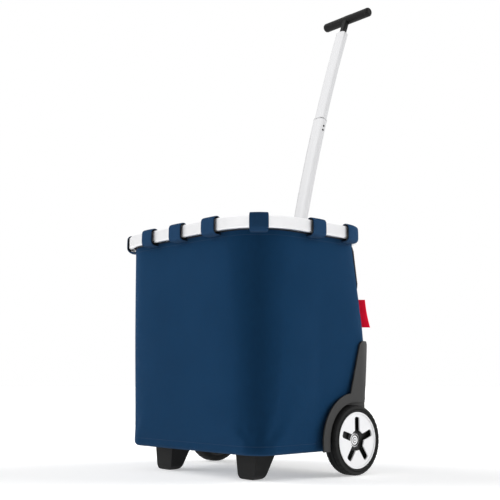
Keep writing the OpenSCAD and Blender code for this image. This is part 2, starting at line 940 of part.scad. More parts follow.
placed() rim_tube();
placed() rim_head();
placed() rim_rivets();
placed() front_loops();
placed() side_loops();
placed() corner_loops();
placed() rear_loops();
placed() bag();
placed() bag_hem();
placed() back_yoke();
placed() side_tag();
placed() floor_board();
placed() base_plate();
placed() front_foot_left();
placed() front_foot_right();
placed() foot_screws();
placed() rear_chassis();
placed() wheel_arch_left();
placed() wheel_arch_right();
placed() chassis_screws();
placed() axle_left();
placed() axle_right();
placed() axle_clips();
placed() tube_socket();
placed() socket_screws();
placed() outer_tube();
placed() tyre_left();
placed() tyre_right();
placed() wheel_core_left();
placed() wheel_core_right();
placed() wheel_disc_left();
placed() wheel_disc_right();
placed() wheel_bush_left();
placed() wheel_bush_right();
placed() hub_cap_left();
placed() hub_cap_right();
placed() middle_tube();
placed() middle_cap();
placed() middle_rivets();
placed() middle_guide();
placed() middle_catch();
placed() upper_tube();
placed() upper_guide();
placed() upper_catch();
placed() grip_neck();
placed() grip_front_shell();
placed() grip_back_shell();
placed() grip_end_caps();
placed() grip_screws();
placed() button_spring();
placed() release_button();
placed() push_rod();
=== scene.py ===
"""The looks of a shopping trolley on wheels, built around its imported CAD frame.

Metres, Z up, the front of the trolley towards -Y. Soft goods (bag, loops, yoke,
tag, floor board) and the tyres are modelled here; every other part is the CAD
node itself with a procedural material.
"""
import json
import math

import bpy
import numpy as np
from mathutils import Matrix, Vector
from mathutils.bvhtree import BVHTree


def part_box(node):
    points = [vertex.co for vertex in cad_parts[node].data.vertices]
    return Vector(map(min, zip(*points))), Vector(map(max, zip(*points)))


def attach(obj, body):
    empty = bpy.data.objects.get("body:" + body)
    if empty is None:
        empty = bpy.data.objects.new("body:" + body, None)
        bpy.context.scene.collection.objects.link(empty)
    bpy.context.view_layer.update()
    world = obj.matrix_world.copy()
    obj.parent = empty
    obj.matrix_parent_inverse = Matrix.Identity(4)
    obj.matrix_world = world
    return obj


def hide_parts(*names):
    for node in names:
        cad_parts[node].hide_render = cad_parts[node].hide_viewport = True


MM = 0.001
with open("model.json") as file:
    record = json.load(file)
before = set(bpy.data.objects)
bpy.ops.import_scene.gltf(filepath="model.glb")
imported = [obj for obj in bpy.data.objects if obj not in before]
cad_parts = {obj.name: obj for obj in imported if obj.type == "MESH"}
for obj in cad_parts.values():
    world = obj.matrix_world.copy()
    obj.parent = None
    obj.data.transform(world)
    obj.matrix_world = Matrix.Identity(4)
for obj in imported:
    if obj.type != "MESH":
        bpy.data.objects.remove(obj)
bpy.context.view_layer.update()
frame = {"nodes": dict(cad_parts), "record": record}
nodes = frame["nodes"]

# ---- Places and sizes, from the frame ----

rim_low, rim_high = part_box("rim_tube")
rim_mid = (rim_low + rim_high) / 2
bag_low, bag_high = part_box("bag")
head_low, head_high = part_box("rim_head")
tyre_low, tyre_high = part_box("tyre_right")
arch_low, arch_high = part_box("wheel_arch_right")
beam_low, beam_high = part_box("rear_chassis")
tube_low, tube_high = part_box("outer_tube")
socket_low, socket_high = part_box("tube_socket")
BACK_HALF = rim_mid.y + 100 * MM

# The rim: a flat tube bent to a rectangle with round corners
RIM_T = 10 * MM
RIM_CORNER = 98 * MM - RIM_T / 2
RIM_EDGE = 3.6 * MM
RIM_HALF_X = rim_high.x - RIM_T / 2
RIM_HALF_Y = (rim_high.y - rim_low.y) / 2 - RIM_T / 2

# The bag: [height, half width, front depth, back depth, front radius, back radius], from the rim's middle
FABRIC_T = 2.2 * MM
BAG_TOP = bag_high.z
BAG_FLOOR = bag_low.z
FOOT_ROUND = 8 * MM
BAG_TOP_INSET = rim_high.x - bag_high.x
BAG_TOP_R = RIM_CORNER + RIM_T / 2 - BAG_TOP_INSET
BAG_ROWS = np.array([
    [BAG_TOP, bag_high.x, rim_mid.y - bag_low.y, rim_mid.y - bag_low.y - 3 * MM, BAG_TOP_R, BAG_TOP_R],
    [240 * MM, 192 * MM, 138.5 * MM, 159.5 * MM, 61 * MM, 45 * MM],
    [BAG_FLOOR, 185 * MM, 130 * MM, bag_high.y - rim_mid.y, 42 * MM, 38 * MM],
])
CORNER_STEPS = 15
FRONT_STEPS = 30
SIDE_STEPS = 24
BACK_HALF_STEPS = 16
WALL_STEPS = 56
SHELF_TOP = beam_high.z + 1.5 * MM
SOCKET_MID_Y = 0.2 * MM
SOCKET_WAY_HALF = 17.4 * MM
SLIT_FOOT = 350 * MM
CLOTH = {"vertex_group_mass": "held", "pin_stiffness": 0.6, "quality": 6, "mass": 0.35, "tension_stiffness": 24,
         "compression_stiffness": 24, "shear_stiffness": 8, "bending_stiffness": 3.5, "use_pressure": True,
         "uniform_pressure_force": 1.2}
CLOTH_GRAVITY = 0.25
SIM_FRAMES = 20
MOVE_CAP = 5 * MM
RAY_START, RAY_LENGTH = 150 * MM, 400 * MM

# ---- Mesh helpers ----


def link(obj):
    bpy.context.scene.collection.objects.link(obj)
    return obj


def mesh_object(name, points, faces, uv=None):
    """A smooth-shaded mesh object, with one (u, v) in metres for each face corner if uv is given."""
    mesh = bpy.data.meshes.new(name)
    mesh.from_pydata([tuple(p) for p in points], [], [tuple(f) for f in faces])
    mesh.validate()
    if uv is not None:
        layer = mesh.uv_layers.new(name="cloth")
        flat = np.array([uv[i][k] for i in range(len(faces)) for k in range(len(faces[i]))], np.float32)
        layer.data.foreach_set("uv", flat.ravel())
    mesh.polygons.foreach_set("use_smooth", [True] * len(mesh.polygons))
    mesh.update()
    return link(bpy.data.objects.new(name, mesh))


def apply_modifiers(obj):
    """Replaces obj's mesh with what its modifiers make of it."""
    graph = bpy.context.evaluated_depsgraph_get()
    made = bpy.data.meshes.new_from_object(obj.evaluated_get(graph))
    obj.modifiers.clear()
    obj.data = made
    return obj


def coordinates(obj):
    co = np.zeros(len(obj.data.vertices) * 3)
    obj.data.vertices.foreach_get("co", co)
    return co.reshape(-1, 3)


def set_coordinates(obj, points):
    obj.data.vertices.foreach_set("co", np.asarray(points, np.float32).ravel())
    obj.data.update()


def modifier(obj, kind, **settings):
    made = obj.modifiers.new(kind.lower(), kind)
    for key, value in settings.items():
        setattr(made, key, value)
    return made


def join(name, pieces):
    """One object made of several, which keeps each one's own material."""
    points, faces, uv, materials, indices = [], [], [], [], []
    for piece in pieces:
        mesh = piece.data
        start = len(points)
        points += [tuple(v.co) for v in mesh.vertices]
        own = mesh.materials[0] if mesh.materials else None
        if own not in materials:
            materials.append(own)
        layer = mesh.uv_layers.get("cloth")
        for poly in mesh.polygons:
            faces.append([start + v for v in poly.vertices])
            uv.append([tuple(layer.data[k].uv) if layer else (0, 0) for k in poly.loop_indices])
            indices.append(materials.index(own))
        bpy.data.objects.remove(piece)
    obj = mesh_object(name, points, faces, uv)
    for m in materials:
        obj.data.materials.append(m)
    obj.data.polygons.foreach_set("material_index", indices)
    return obj


def ring_quads(rows, count, closed=False, start=0):
    """Quads between rings of count points, and from the last ring to the first if closed."""
    faces = []
    for i in range(rows if closed else rows - 1):
        here, there = start + i * count, start + (i + 1) % rows * count
        for k in range(count):
            k2 = (k + 1) % count
            faces.append([here + k, here + k2, there + k2, there + k])
    return faces


def ring_ends(rows, count, start=0):
    """The flat faces that close the first and the last ring."""
    last = start + (rows - 1) * count
    return [[start + k for k in range(count)][::-1], [last + k for k in range(count)]]


def run_uv(outline, rows, step):
    """UVs in metres for ring_quads along a run: the outline's first value across, and a step for each ring."""
    uv = []
    for i in range(rows - 1):
        for k in range(len(outline)):
            a, b = outline[k][0], outline[(k + 1) % len(outline)][0]
            uv.append([(a, i * step), (b, i * step), (b, (i + 1) * step), (a, (i + 1) * step)])
    return uv


def belong(obj, body="trolley", node=None):
    """Puts a new piece on the body it rides on and, if it stands for a CAD node, hides that node."""
    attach(obj, body)
    if node:
        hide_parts(node)


def sweep(name, path, section, closed=False):
    """Carries a closed section along a path of frames: section points are (across, out) and each frame is
    (place, across direction, out direction). UVs run round the section and along the path."""
    rows = [[place + across * a + out * b for a, b in section] for place, across, out in path]
    count = len(section)
    around = [0.0]
    for k in range(count):
        a, b = section[k], section[(k + 1) % count]
        around.append(around[-1] + math.hypot(b[0] - a[0], b[1] - a[1]))
    along = [0.0]
    for k in range(len(path)):
        along.append(along[-1] + (path[(k + 1) % len(path)][0] - path[k][0]).length)
    faces = ring_quads(len(path), count, closed)
    uv = [[(around[k], along[i]), (around[k + 1], along[i]), (around[k + 1], along[i + 1]), (around[k], along[i + 1])]
          for i in range(len(faces) // count) for k in range(count)]
    if not closed:
        faces += ring_ends(len(path), count)
        uv += [section[::-1], section]
    return mesh_object(name, [p for row in rows for p in row], faces, uv)


def round_section(width, height, radius, steps=4):
    """A rectangle with round corners, as (across, out) points, anticlockwise from the right."""
    points = []
    for quarter, (sx, sy) in enumerate(((1, 1), (-1, 1), (-1, -1), (1, -1))):
        for k in range(steps + 1):
            turn = math.radians(90 * (quarter + k / steps))
            points.append((sx * (width / 2 - radius) + radius * math.cos(turn),
                           sy * (height / 2 - radius) + radius * math.sin(turn)))
    return points


# ---- Materials ----


class Material:
    """A Principled material, with short ways to add the procedural nodes that feed it."""

    def __init__(self, name, **sockets):
        self.data = bpy.data.materials.new(name)
        self.data.use_nodes = True
        self.nodes = self.data.node_tree.nodes
        self.links = self.data.node_tree.links
        self.shader = self.nodes["Principled BSDF"]
        for key, value in sockets.items():
            self.shader.inputs[key.replace("_", " ")].default_value = value

    def add(self, kind, inputs=(), **settings):
        made = self.nodes.new("ShaderNode" + kind)
        for key, value in settings.items():
            setattr(made, key, value)
        for key, value in dict(inputs).items():
            self.feed(made.inputs[key], value)
        return made

    def feed(self, socket, value):
        if isinstance(value, bpy.types.NodeSocket):
            self.links.new(value, socket)
        else:
            socket.default_value = value

    def math(self, operation, a, b=0.0, c=0.0):
        return self.add("Math", {0: a, 1: b, 2: c}, operation=operation).outputs[0]

    def place(self, stretch=(1, 1, 1)):
        """The point's place in millimetres, scaled along each axis."""
        where = self.add("TexCoord").outputs["Object"]
        return self.add("Mapping", {"Vector": where, "Scale": [1000 * s for s in stretch]}).outputs[0]

    def cloth_place(self):
        """The point's place on the cloth, in millimetres, from the mesh's own map."""
        where = self.add("UVMap", uv_map="cloth").outputs[0]
        return self.add("Mapping", {"Vector": where, "Scale": (1000, 1000, 1000)}).outputs[0]

    def box_place(self):
        """The point's place on the nearest axis-aligned plane, in millimetres."""
        normal = self.add("SeparateXYZ", {0: self.add("NewGeometry").outputs["Normal"]}).outputs
        point = self.add("SeparateXYZ", {0: self.place()}).outputs
        size = [self.math("ABSOLUTE", normal[k]) for k in range(3)]
        side = self.math("GREATER_THAN", size[0], size[1])
        flat = self.math("GREATER_THAN", size[2], 0.7)
        level = self.add("Mix", {0: side, 2: point[0], 3: point[1]}).outputs[0]
        u = self.add("Mix", {0: flat, 2: level, 3: point[0]}).outputs[0]
        v = self.add("Mix", {0: flat, 2: point[2], 3: point[1]}).outputs[0]
        return self.add("CombineXYZ", {0: u, 1: v}).outputs[0]

    def noise(self, place, size, detail=3.0, roughness=0.5):
        """Noise from 0 to 1 whose features are about that many millimetres across."""
        return self.add("TexNoise", {"Vector": place, "Scale": 1 / size, "Detail": detail,
                                     "Roughness": roughness}).outputs["Fac"]

    def ramp(self, value, low, high, to_low=0.0, to_high=1.0):
        return self.add("MapRange", {0: value, 1: low, 2: high, 3: to_low, 4: to_high}).outputs[0]

    def mix(self, share, a, b):
        """Mixes two colours."""
        made = self.add("Mix", data_type="RGBA")
        self.feed(made.inputs[0], share)
        for socket, value in ((made.inputs[6], a), (made.inputs[7], b)):
            self.feed(socket, value if isinstance(value, bpy.types.NodeSocket) else (*value[:3], 1))
        return made.outputs[2]

    def weave(self, place, pitch):
        """Height of a plain weave, from 0 to 1: yarns of that pitch in millimetres over and under each other."""
        axes = self.add("SeparateXYZ", {0: place}).outputs
        phase = [self.math("MULTIPLY", axes[k], math.pi / pitch) for k in range(2)]
        wave = [self.math("SINE", p) for p in phase]
        crown = [self.math("ABSOLUTE", w) for w in wave]
        over = self.math("GREATER_THAN", self.math("MULTIPLY", wave[0], wave[1]), 0.0)
        return self.add("Mix", {0: over, 2: crown[0], 3: crown[1]}).outputs[0]

    def bump(self, *layers):
        """Stacks heights, each given as (height, depth in metres), into the shader's normal."""
        normal = None
        for height, depth in layers:
            made = self.add("Bump", {"Height": height, "Distance": depth, "Strength": 1.0})
            if normal is not None:
                self.feed(made.inputs["Normal"], normal)
            normal = made.outputs[0]
        self.feed(self.shader.inputs["Normal"], normal)
        return self

    def rounded(self, radius):
        """The surface's normal with its edges rounded off by that radius."""
        return self.add("Bevel", {"Radius": radius}, samples=4).outputs[0]

    def edge_wear(self, radius):
        """1 on a worn edge and 0 on a flat."""
        turn = self.add("VectorMath", {0: self.rounded(radius), 1: self.add("NewGeometry").outputs["Normal"]},
                        operation="DOT_PRODUCT").outputs["Value"]
        return self.ramp(turn, 0.99, 0.86)

    def colour(self, value):
        self.feed(self.shader.inputs["Base Color"], value)

    def roughness(self, value):
        self.feed(self.shader.inputs["Roughness"], value)


def fabric(name, dark, light, pitch=0.9, depth=0.14 * MM, on_cloth=True, sheen=0.06,
           sheen_tint=(0.5, 0.7, 1, 1)):
    """Woven polyester: a plain weave, uneven yarns, soft mottling and a light fuzz."""
    m = Material(name, Roughness=0.85, Sheen_Weight=sheen, Sheen_Roughness=0.45, Sheen_Tint=sheen_tint,
                 Specular_IOR_Level=0.06)
    place = m.cloth_place() if on_cloth else m.box_place()
    weave = m.weave(place, pitch)
    slub = m.noise(m.add("Mapping", {"Vector": place, "Scale": (1, 0.08, 1)}).outputs[0], 1.6, 2)
    mottle = m.noise(m.place(), 9, 5, 0.65)
    broad = m.noise(m.place(), 90, 2)
    share = m.math("MULTIPLY_ADD", weave, 0.35, m.math("MULTIPLY", slub, 0.25))
    share = m.math("MULTIPLY_ADD", mottle, 0.45, share)
    share = m.math("MULTIPLY_ADD", broad, 0.35, share)
    m.colour(m.mix(m.ramp(share, 0.35, 1.05), dark, light))
    m.roughness(m.ramp(mottle, 0.3, 0.7, 0.78, 0.92))
    m.bump((mottle, 0.35 * MM), (slub, 0.1 * MM), (weave, depth))
    return m.data


def webbing(name, dark, light):
    """Ribbed tape for bindings: fine ribs across its length."""
    m = Material(name, Roughness=0.8, Sheen_Weight=0.04, Sheen_Roughness=0.5, Specular_IOR_Level=0.15)
    place = m.cloth_place()
    axes = m.add("SeparateXYZ", {0: place}).outputs
    ribs = m.math("ABSOLUTE", m.math("SINE", m.math("MULTIPLY", axes[1], math.pi / 0.7)))
    grain = m.noise(m.place(), 0.6, 2)
    m.colour(m.mix(m.math("MULTIPLY_ADD", ribs, 0.6, m.math("MULTIPLY", grain, 0.4)), dark, light))
    m.bump((grain, 0.08 * MM), (ribs, 0.16 * MM))
    return m.data


def thread(name, dark, light):
    """Twisted sewing thread."""
    m = Material(name, Roughness=0.6, Sheen_Weight=0.05, Specular_IOR_Level=0.3)
    m.colour(m.mix(m.noise(m.place(), 0.5, 2), dark, light))
    m.bump((m.noise(m.place(), 0.25, 1), 0.05 * MM))
    return m.data


def aluminium(name, shade, along, roughness=0.3, scratch=0.5):
    """Satin anodised aluminium, drawn or brushed so that its grain runs along one direction."""
    m = Material(name, Metallic=1.0, Roughness=roughness)
    grain_place = m.place([0.02 if k else 1 for k in along])
    grain = m.noise(grain_place, 0.5, 4, 0.6)
    cloud = m.noise(m.place(), 30, 3)
    scuff = m.noise(m.place([0.15 if k else 1 for k in along]), 2.2, 6, 0.75)
    marks = m.ramp(scuff, 0.62, 0.74)
    tone = m.math("MULTIPLY_ADD", grain, 0.5, m.math("MULTIPLY", cloud, 0.5))
    m.colour(m.mix(tone, [c * 0.88 for c in shade], shade))
    rough = m.ramp(tone, 0.25, 0.75, roughness * 0.85, roughness * 1.2)
    m.roughness(m.math("MULTIPLY_ADD", marks, 0.12 * scratch, rough))
    m.bump((grain, 0.012 * MM), (marks, -0.006 * MM * scratch))
    return m.data


def plastic(name, dark, light, roughness=0.5, grain=0.6, depth=0.05 * MM, wear=0.35, edge=0.8 * MM, level=0.25):
    """Moulded plastic: a spark-eroded grain, faint clouding, and paler, smoother worn edges."""
    m = Material(name, Roughness=roughness, Specular_IOR_Level=level)
    texture = m.noise(m.place(), grain, 3, 0.55)
    cloud = m.noise(m.place(), 25, 4, 0.6)
    worn = m.math("MULTIPLY", m.edge_wear(edge), m.ramp(m.noise(m.place(), 6, 4), 0.35, 0.7))
    base = m.mix(m.math("MULTIPLY_ADD", cloud, 0.7, m.math("MULTIPLY", texture, 0.3)), dark, light)
    m.colour(m.mix(m.math("MULTIPLY", worn, wear), base, [min(1, c * 1.8 + 0.02) for c in light]))
    m.roughness(m.ramp(m.math("SUBTRACT", cloud, m.math("MULTIPLY", worn, 0.5)), 0.0, 1.0,
                       roughness * 0.8, roughness * 1.25))
    bump = m.add("Bump", {"Height": texture, "Distance": depth, "Strength": 1.0, "Normal": m.rounded(edge)})
    m.feed(m.shader.inputs["Normal"], bump.outputs[0])
    return m.data


def rubber(name, dark, light):
    """Tyre rubber: matt, dusty in patches, with a little grit."""
    m = Material(name, Roughness=0.75, Specular_IOR_Level=0.25)
    dust = m.noise(m.place(), 12, 6, 0.7)
    grit = m.noise(m.place(), 0.8, 3)
    m.colour(m.mix(m.ramp(dust, 0.35, 0.75), dark, light))
    m.roughness(m.ramp(dust, 0.3, 0.7, 0.62, 0.85))
    m.bump((dust, 0.1 * MM), (grit, 0.07 * MM))
    return m.data


def steel(name, shade, roughness=0.25):
    """Zinc-plated steel, with faint clouding."""
    m = Material(name, Metallic=1.0, Roughness=roughness)
    cloud = m.noise(m.place(), 3, 5, 0.7)
    m.colour(m.mix(cloud, [c * 0.8 for c in shade], shade))
    m.roughness(m.ramp(cloud, 0.3, 0.7, roughness * 0.7, roughness * 1.5))
    m.bump((m.noise(m.place(), 0.7, 2), 0.01 * MM))
    return m.data


def steel_with_painted_groove_shade(name, box, shade, dark, rings):
    """Chromed plastic with rings of painted shade about the axle where its grooves lie, each given by its inner and
    outer radius in millimetres.
    """
    m = Material(name, Metallic=1.0, Roughness=0.2)
    axle = (box[0] + box[1]) / 2 / MM
    point = m.add("SeparateXYZ", {0: m.place()}).outputs
    off = [m.math("SUBTRACT", point[k], axle[k]) for k in (1, 2)]
    reach = m.math("SQRT", m.math("ADD", m.math("POWER", off[0], 2), m.math("POWER", off[1], 2)))
    share = 0.0
    for inner, outer in rings:
        past_inner, short_of_outer = m.ramp(reach, inner - 0.3, inner + 0.1), m.ramp(reach, outer + 0.1, outer - 0.3)
        ring = m.math("MULTIPLY", past_inner, short_of_outer)
        share = m.math("MAXIMUM", share, ring)
    cloud = m.noise(m.place(), 3, 5, 0.7)
    # Painted shade: within the rings, which sit in the cap's grooves, the chrome gives way to the dark colour.
    m.colour(m.mix(share, m.mix(cloud, [c * 0.8 for c in shade], shade), dark))
    m.roughness(m.ramp(cloud, 0.3, 0.7, 0.12, 0.26))
    m.bump((m.noise(m.place(), 0.7, 2), 0.01 * MM), (share, -0.2 * MM))
    return m.data


def grey(value):
    return (value, value, value)


NAVY_DARK = (0.0025, 0.0230, 0.0620)
NAVY_LIGHT = (0.0065, 0.0370, 0.0920)
BLACK_DARK = (0.004, 0.004, 0.005)
BLACK_LIGHT = (0.011, 0.011, 0.013)

finish_of = {
    "rim_aluminium": aluminium("rim_aluminium", (0.87, 0.87, 0.88), (1, 1, 0), 0.42),
    "tube_aluminium": aluminium("tube_aluminium", (0.75, 0.75, 0.76), (0, 0, 1), 0.36),
    "bag_fabric": fabric("bag_fabric", NAVY_DARK, NAVY_LIGHT),
    "loop_fabric": fabric("loop_fabric", (0.007, 0.030, 0.075), (0.016, 0.052, 0.118), pitch=1.1, depth=0.18 * MM),
    "black_fabric": fabric("black_fabric", BLACK_DARK, BLACK_LIGHT, sheen=0.05, sheen_tint=(1, 1, 1, 1)),
    "tag_fabric": fabric("tag_fabric", (0.86, 0.006, 0.026), (1.0, 0.014, 0.050), pitch=0.5,
                         depth=0.06 * MM, sheen=0.25, sheen_tint=(1, 0.2, 0.25, 1)),
    "board_fabric": fabric("board_fabric", (0.012, 0.016, 0.024), (0.024, 0.030, 0.042), on_cloth=False,
                           sheen=0.05),
    "tyre": rubber("tyre", grey(0.0015), grey(0.0045)),
    # The hub caps' chrome, with grey(0.10) painted into its grooves as shade.
    "hub_chrome": steel_with_painted_groove_shade("hub_chrome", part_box("hub_cap_right"), (0.86, 0.86, 0.87), grey(0.10),
                               ((0, 1.6), (4.6, 5.6), (8.4, 10.4))),
    "steel": steel("steel", (0.62, 0.62, 0.64)),
}
# Each moulded plastic: dark and light shades, roughness, the radius of its edges, and what else differs
for slot, dark, light, roughness, edge, others in (
        ("dark_plastic", grey(0.018), grey(0.030), 0.55, 0.8, {}),
        ("foot_plastic", grey(0.0060), grey(0.0122), 0.5, 1.5, {"level": 0.15}),
        ("arch_plastic", (0.035, 0.035, 0.0345), (0.050, 0.0495, 0.049), 0.5, 1.5, {"level": 0.18}),
        ("wheel_black", grey(0.006), grey(0.011), 0.4, 0.5, {}),
        ("disc_plastic", (0.76, 0.76, 0.77), (0.84, 0.84, 0.85), 0.3, 0.7,
         {"grain": 0.4, "depth": 0.02 * MM, "wear": 0.2, "level": 0.5}),
        ("bush_plastic", (0.62, 0.60, 0.55), (0.75, 0.73, 0.68), 0.4, 0.3, {}),
        ("cap_plastic", (0.50, 0.50, 0.51), (0.60, 0.60, 0.61), 0.35, 0.4, {}),
        ("black_detail", grey(0.005), grey(0.010), 0.5, 0.3, {}),
        ("grip_plastic", grey(0.0068), grey(0.0165), 0.5, 1.0, {"grain": 0.5, "level": 0.13}),
        ("button_plastic", grey(0.02), grey(0.034), 0.38, 0.8, {})):
    finish_of[slot] = plastic(slot, dark, light, roughness, edge=edge * MM, **others)
lining_cloth = fabric("lining_cloth", (0.010, 0.013, 0.020), (0.020, 0.025, 0.036), pitch=0.7, depth=0.1 * MM,
                      on_cloth=False, sheen=0.04)
binding_tape = webbing("binding_tape", BLACK_DARK, BLACK_LIGHT)
navy_thread = thread("navy_thread", (0.008, 0.024, 0.06), (0.02, 0.05, 0.11))
black_thread = thread("black_thread", (0.006, 0.006, 0.007), (0.02, 0.02, 0.022))
# A lighter copy of the tyre rubber for the outer sidewall: painted light, as if that side caught more light.
painted_lit_tyre_side = rubber("painted_lit_tyre_side", grey(0.012), (0.024, 0.024, 0.0235))


def slot_of(node):
    return next(s["material_slot"] for s in frame["record"]["subparts"] if s["node"] == node)


for node_name, obj in nodes.items():
    obj.data.materials.clear()
    obj.data.materials.append(finish_of[slot_of(node_name)])


# ---- Bag ----


def bag_row(z):
    """Half width, front depth, back depth and corner radii of the bag at a height, its bends smoothed."""
    spread = 22 * MM
    levels = np.clip(np.array([z - spread, z, z + spread]), BAG_FLOOR, BAG_TOP)
    return [float(np.mean(np.interp(levels, BAG_ROWS[::-1, 0], BAG_ROWS[::-1, k]))) for k in range(1, 6)]


def bag_outline(row):
    """One level of the bag as (x, y) from the rim's middle, from the back's middle round by the left."""
    half_w, front, back, r_front, r_back = row
    points = [(-(half_w - r_back) * k / BACK_HALF_STEPS, back) for k in range(BACK_HALF_STEPS)]

    def corner(cx, cy, r, start):
        for k in range(CORNER_STEPS):
            turn = math.radians(start + 90 * k / CORNER_STEPS)
            points.append((cx + r * math.cos(turn), cy + r * math.sin(turn)))

    def straight(x0, y0, x1, y1, steps):
        points.extend((x0 + (x1 - x0) * k / steps, y0 + (y1 - y0) * k / steps) for k in range(steps))

    corner(-(half_w - r_back), back - r_back, r_back, 90)
    straight(-half_w, back - r_back, -half_w, -(front - r_front), SIDE_STEPS)
    corner(-(half_w - r_front), -(front - r_front), r_front, 180)
    straight(-(half_w - r_front), -front, half_w - r_front, -front, FRONT_STEPS)
    corner(half_w - r_front, -(front - r_front), r_front, 270)
    straight(half_w, -(front - r_front), half_w, back - r_back, SIDE_STEPS)
    corner(half_w - r_back, back - r_back, r_back, 0)
    straight(half_w - r_back, back, 0, back, BACK_HALF_STEPS)
    return points


COLUMNS = len(bag_outline(bag_row(BAG_TOP)))


def bag_levels():
    """(height, inset) of every ring of the bag's outside, from its top edge down and under to the floor."""
    wall = [(BAG_TOP + (BAG_FLOOR + FOOT_ROUND - BAG_TOP) * k / WALL_STEPS, 0.0) for k in range(WALL_STEPS)]
    turns = [math.radians(90 * k / 5) for k in range(6)]
    foot = [(BAG_FLOOR + FOOT_ROUND * (1 - math.sin(t)), FOOT_ROUND * (1 - math.cos(t))) for t in turns]
    floor = [(BAG_FLOOR, inset * MM) for inset in (14, 24, 38, 56, 80, 108)]
    return wall + foot + floor


LEVELS = bag_levels()


def loft_points():
    """The bag's outside as rings of points, one for each level."""
    rows = []
    for z, inset in LEVELS:
        row = bag_row(z)
        half_w, front, back = (v - inset for v in row[:3])
        r_front, r_back = (max(v - inset, 6 * MM) for v in row[3:])
        rows.append([(x, y + rim_mid.y, z) for x, y in bag_outline([half_w, front, back, r_front, r_back])])
    return rows


def grid_faces(rows, columns):
    """Quads between the bag's rings, wound to face outward."""
    faces = []
    for i in range(rows - 1):
        for k in range(columns):
            k2 = (k + 1) % columns
            faces.append([i * columns + k2, i * columns + k, (i + 1) * columns + k, (i + 1) * columns + k2])
    return faces


def cloth_uv(rings, faces):
    """UVs for a ringed grid: distance round the top ring, and distance down each column."""
    columns = len(rings[0])
    points = np.array(rings)
    step = np.linalg.norm(np.roll(points[0], -1, 0) - points[0], axis=1)
    around = np.concatenate([[0], np.cumsum(step)])
    drop = np.linalg.norm(np.diff(points, axis=0), axis=2).mean(axis=1)
    down = -np.concatenate([[0], np.cumsum(drop)])
    uv = []
    for face in faces:
        wraps = {f % columns for f in face} == {0, columns - 1}
        uv.append([(around[columns if wraps and f % columns == 0 else f % columns], down[f // columns])
                   for f in face])
    return uv


def loop_places():
    """The loops round the rim: (middle in plan, outward heading in degrees, kind, width)."""
    corner_x, corner_y = RIM_HALF_X - RIM_CORNER, RIM_HALF_Y - RIM_CORNER
    places = [((x * MM, -RIM_HALF_Y), -90, "front", width * MM) for x, width in ((-84, 30), (0, 33), (92, 34))]
    for side in (-1, 1):
        places.append(((side * RIM_HALF_X, -10.4 * MM), 0 if side > 0 else 180, "side", 33 * MM))
        places.append(((side * 92 * MM, RIM_HALF_Y), 90, "rear", 32 * MM))
        for back, turn, width in ((-1, -43.2, 30.5), (1, 13, 34)):
            heading = turn if side > 0 else 180 - turn
            t = math.radians(heading)
            places.append(((side * corner_x + RIM_CORNER * math.cos(t), back * corner_y + RIM_CORNER * math.sin(t)),
                           heading, "corner", width * MM))
    return places


LOOPS = loop_places()


def settle_bag(obj):
    """Lets the bag's cloth hang from its loops and belly out a little, then keeps each point near where it was."""
    rest = coordinates(obj)
    held = np.zeros(len(rest))
    for (x, y), _, _, width in LOOPS:
        away = np.hypot(rest[:, 0] - x, rest[:, 1] - rim_mid.y - y)
        near_top = rest[:, 2] > BAG_TOP - 22 * MM
        held = np.maximum(held, near_top * np.clip(1.6 - away / (width * 0.75), 0, 1))
    top_edge = np.clip(1 - (BAG_TOP - rest[:, 2]) / (26 * MM), 0, 1)
    foot_edge = np.clip(1 - (rest[:, 2] - BAG_FLOOR - FOOT_ROUND) / (16 * MM), 0, 1)
    by_arch = (rest[:, 1] > arch_low.y - 12 * MM) & (rest[:, 2] < arch_high.z + 15 * MM) & \
        (np.abs(rest[:, 0]) > 120 * MM)
    by_head = (np.abs(rest[:, 0]) < 60 * MM) & (rest[:, 1] > BACK_HALF) & (rest[:, 2] > 330 * MM)
    held = np.maximum.reduce([held, 0.75 * top_edge, foot_edge, by_arch * 1.0, by_head * 1.0])
    group = obj.vertex_groups.new(name="held")
    for i, weight in enumerate(held):
        group.add([i], float(weight), "REPLACE")
    cloth = modifier(obj, "CLOTH")
    for key, value in CLOTH.items():
        setattr(cloth.settings, key, value)
    cloth.settings.effector_weights.gravity = CLOTH_GRAVITY
    cloth.collision_settings.use_collision = False
    scene = bpy.context.scene
    for number in range(1, SIM_FRAMES + 1):
        scene.frame_set(number)
    apply_modifiers(obj)
    scene.frame_set(1)
    moved = coordinates(obj) - rest
    length = np.linalg.norm(moved, axis=1)
    print("bag cloth moved", round(float(length.max()) * 1000, 2), "mm at most")
    kept = MOVE_CAP * np.tanh(length / MOVE_CAP)
    set_coordinates(obj, rest + moved * (kept / np.maximum(length, 1e-9))[:, None])
    return obj


def bag_cloth():
    """The bag's outside as one open cloth, before it is given thickness."""
    rings = loft_points()
    faces = grid_faces(len(rings), COLUMNS)
    uv = cloth_uv(rings, faces)
    middle = [i + (len(rings) - 1) * COLUMNS for i in range(COLUMNS)][::-1]
    faces.append(middle)
    uv.append([(0, 0)] * COLUMNS)
    obj = mesh_object("bag_cloth", [p for ring in rings for p in ring], faces, uv)
    settle_bag(obj)
    return obj


def box_object(name, low, high):
    corners = [(x, y, z) for x in (low[0], high[0]) for y in (low[1], high[1]) for z in (low[2], high[2])]
    faces = [(0, 1, 3, 2), (4, 6, 7, 5), (0, 4, 5, 1), (2, 3, 7, 6), (0, 2, 6, 4), (1, 5, 7, 3)]
    return mesh_object(name, corners, faces)


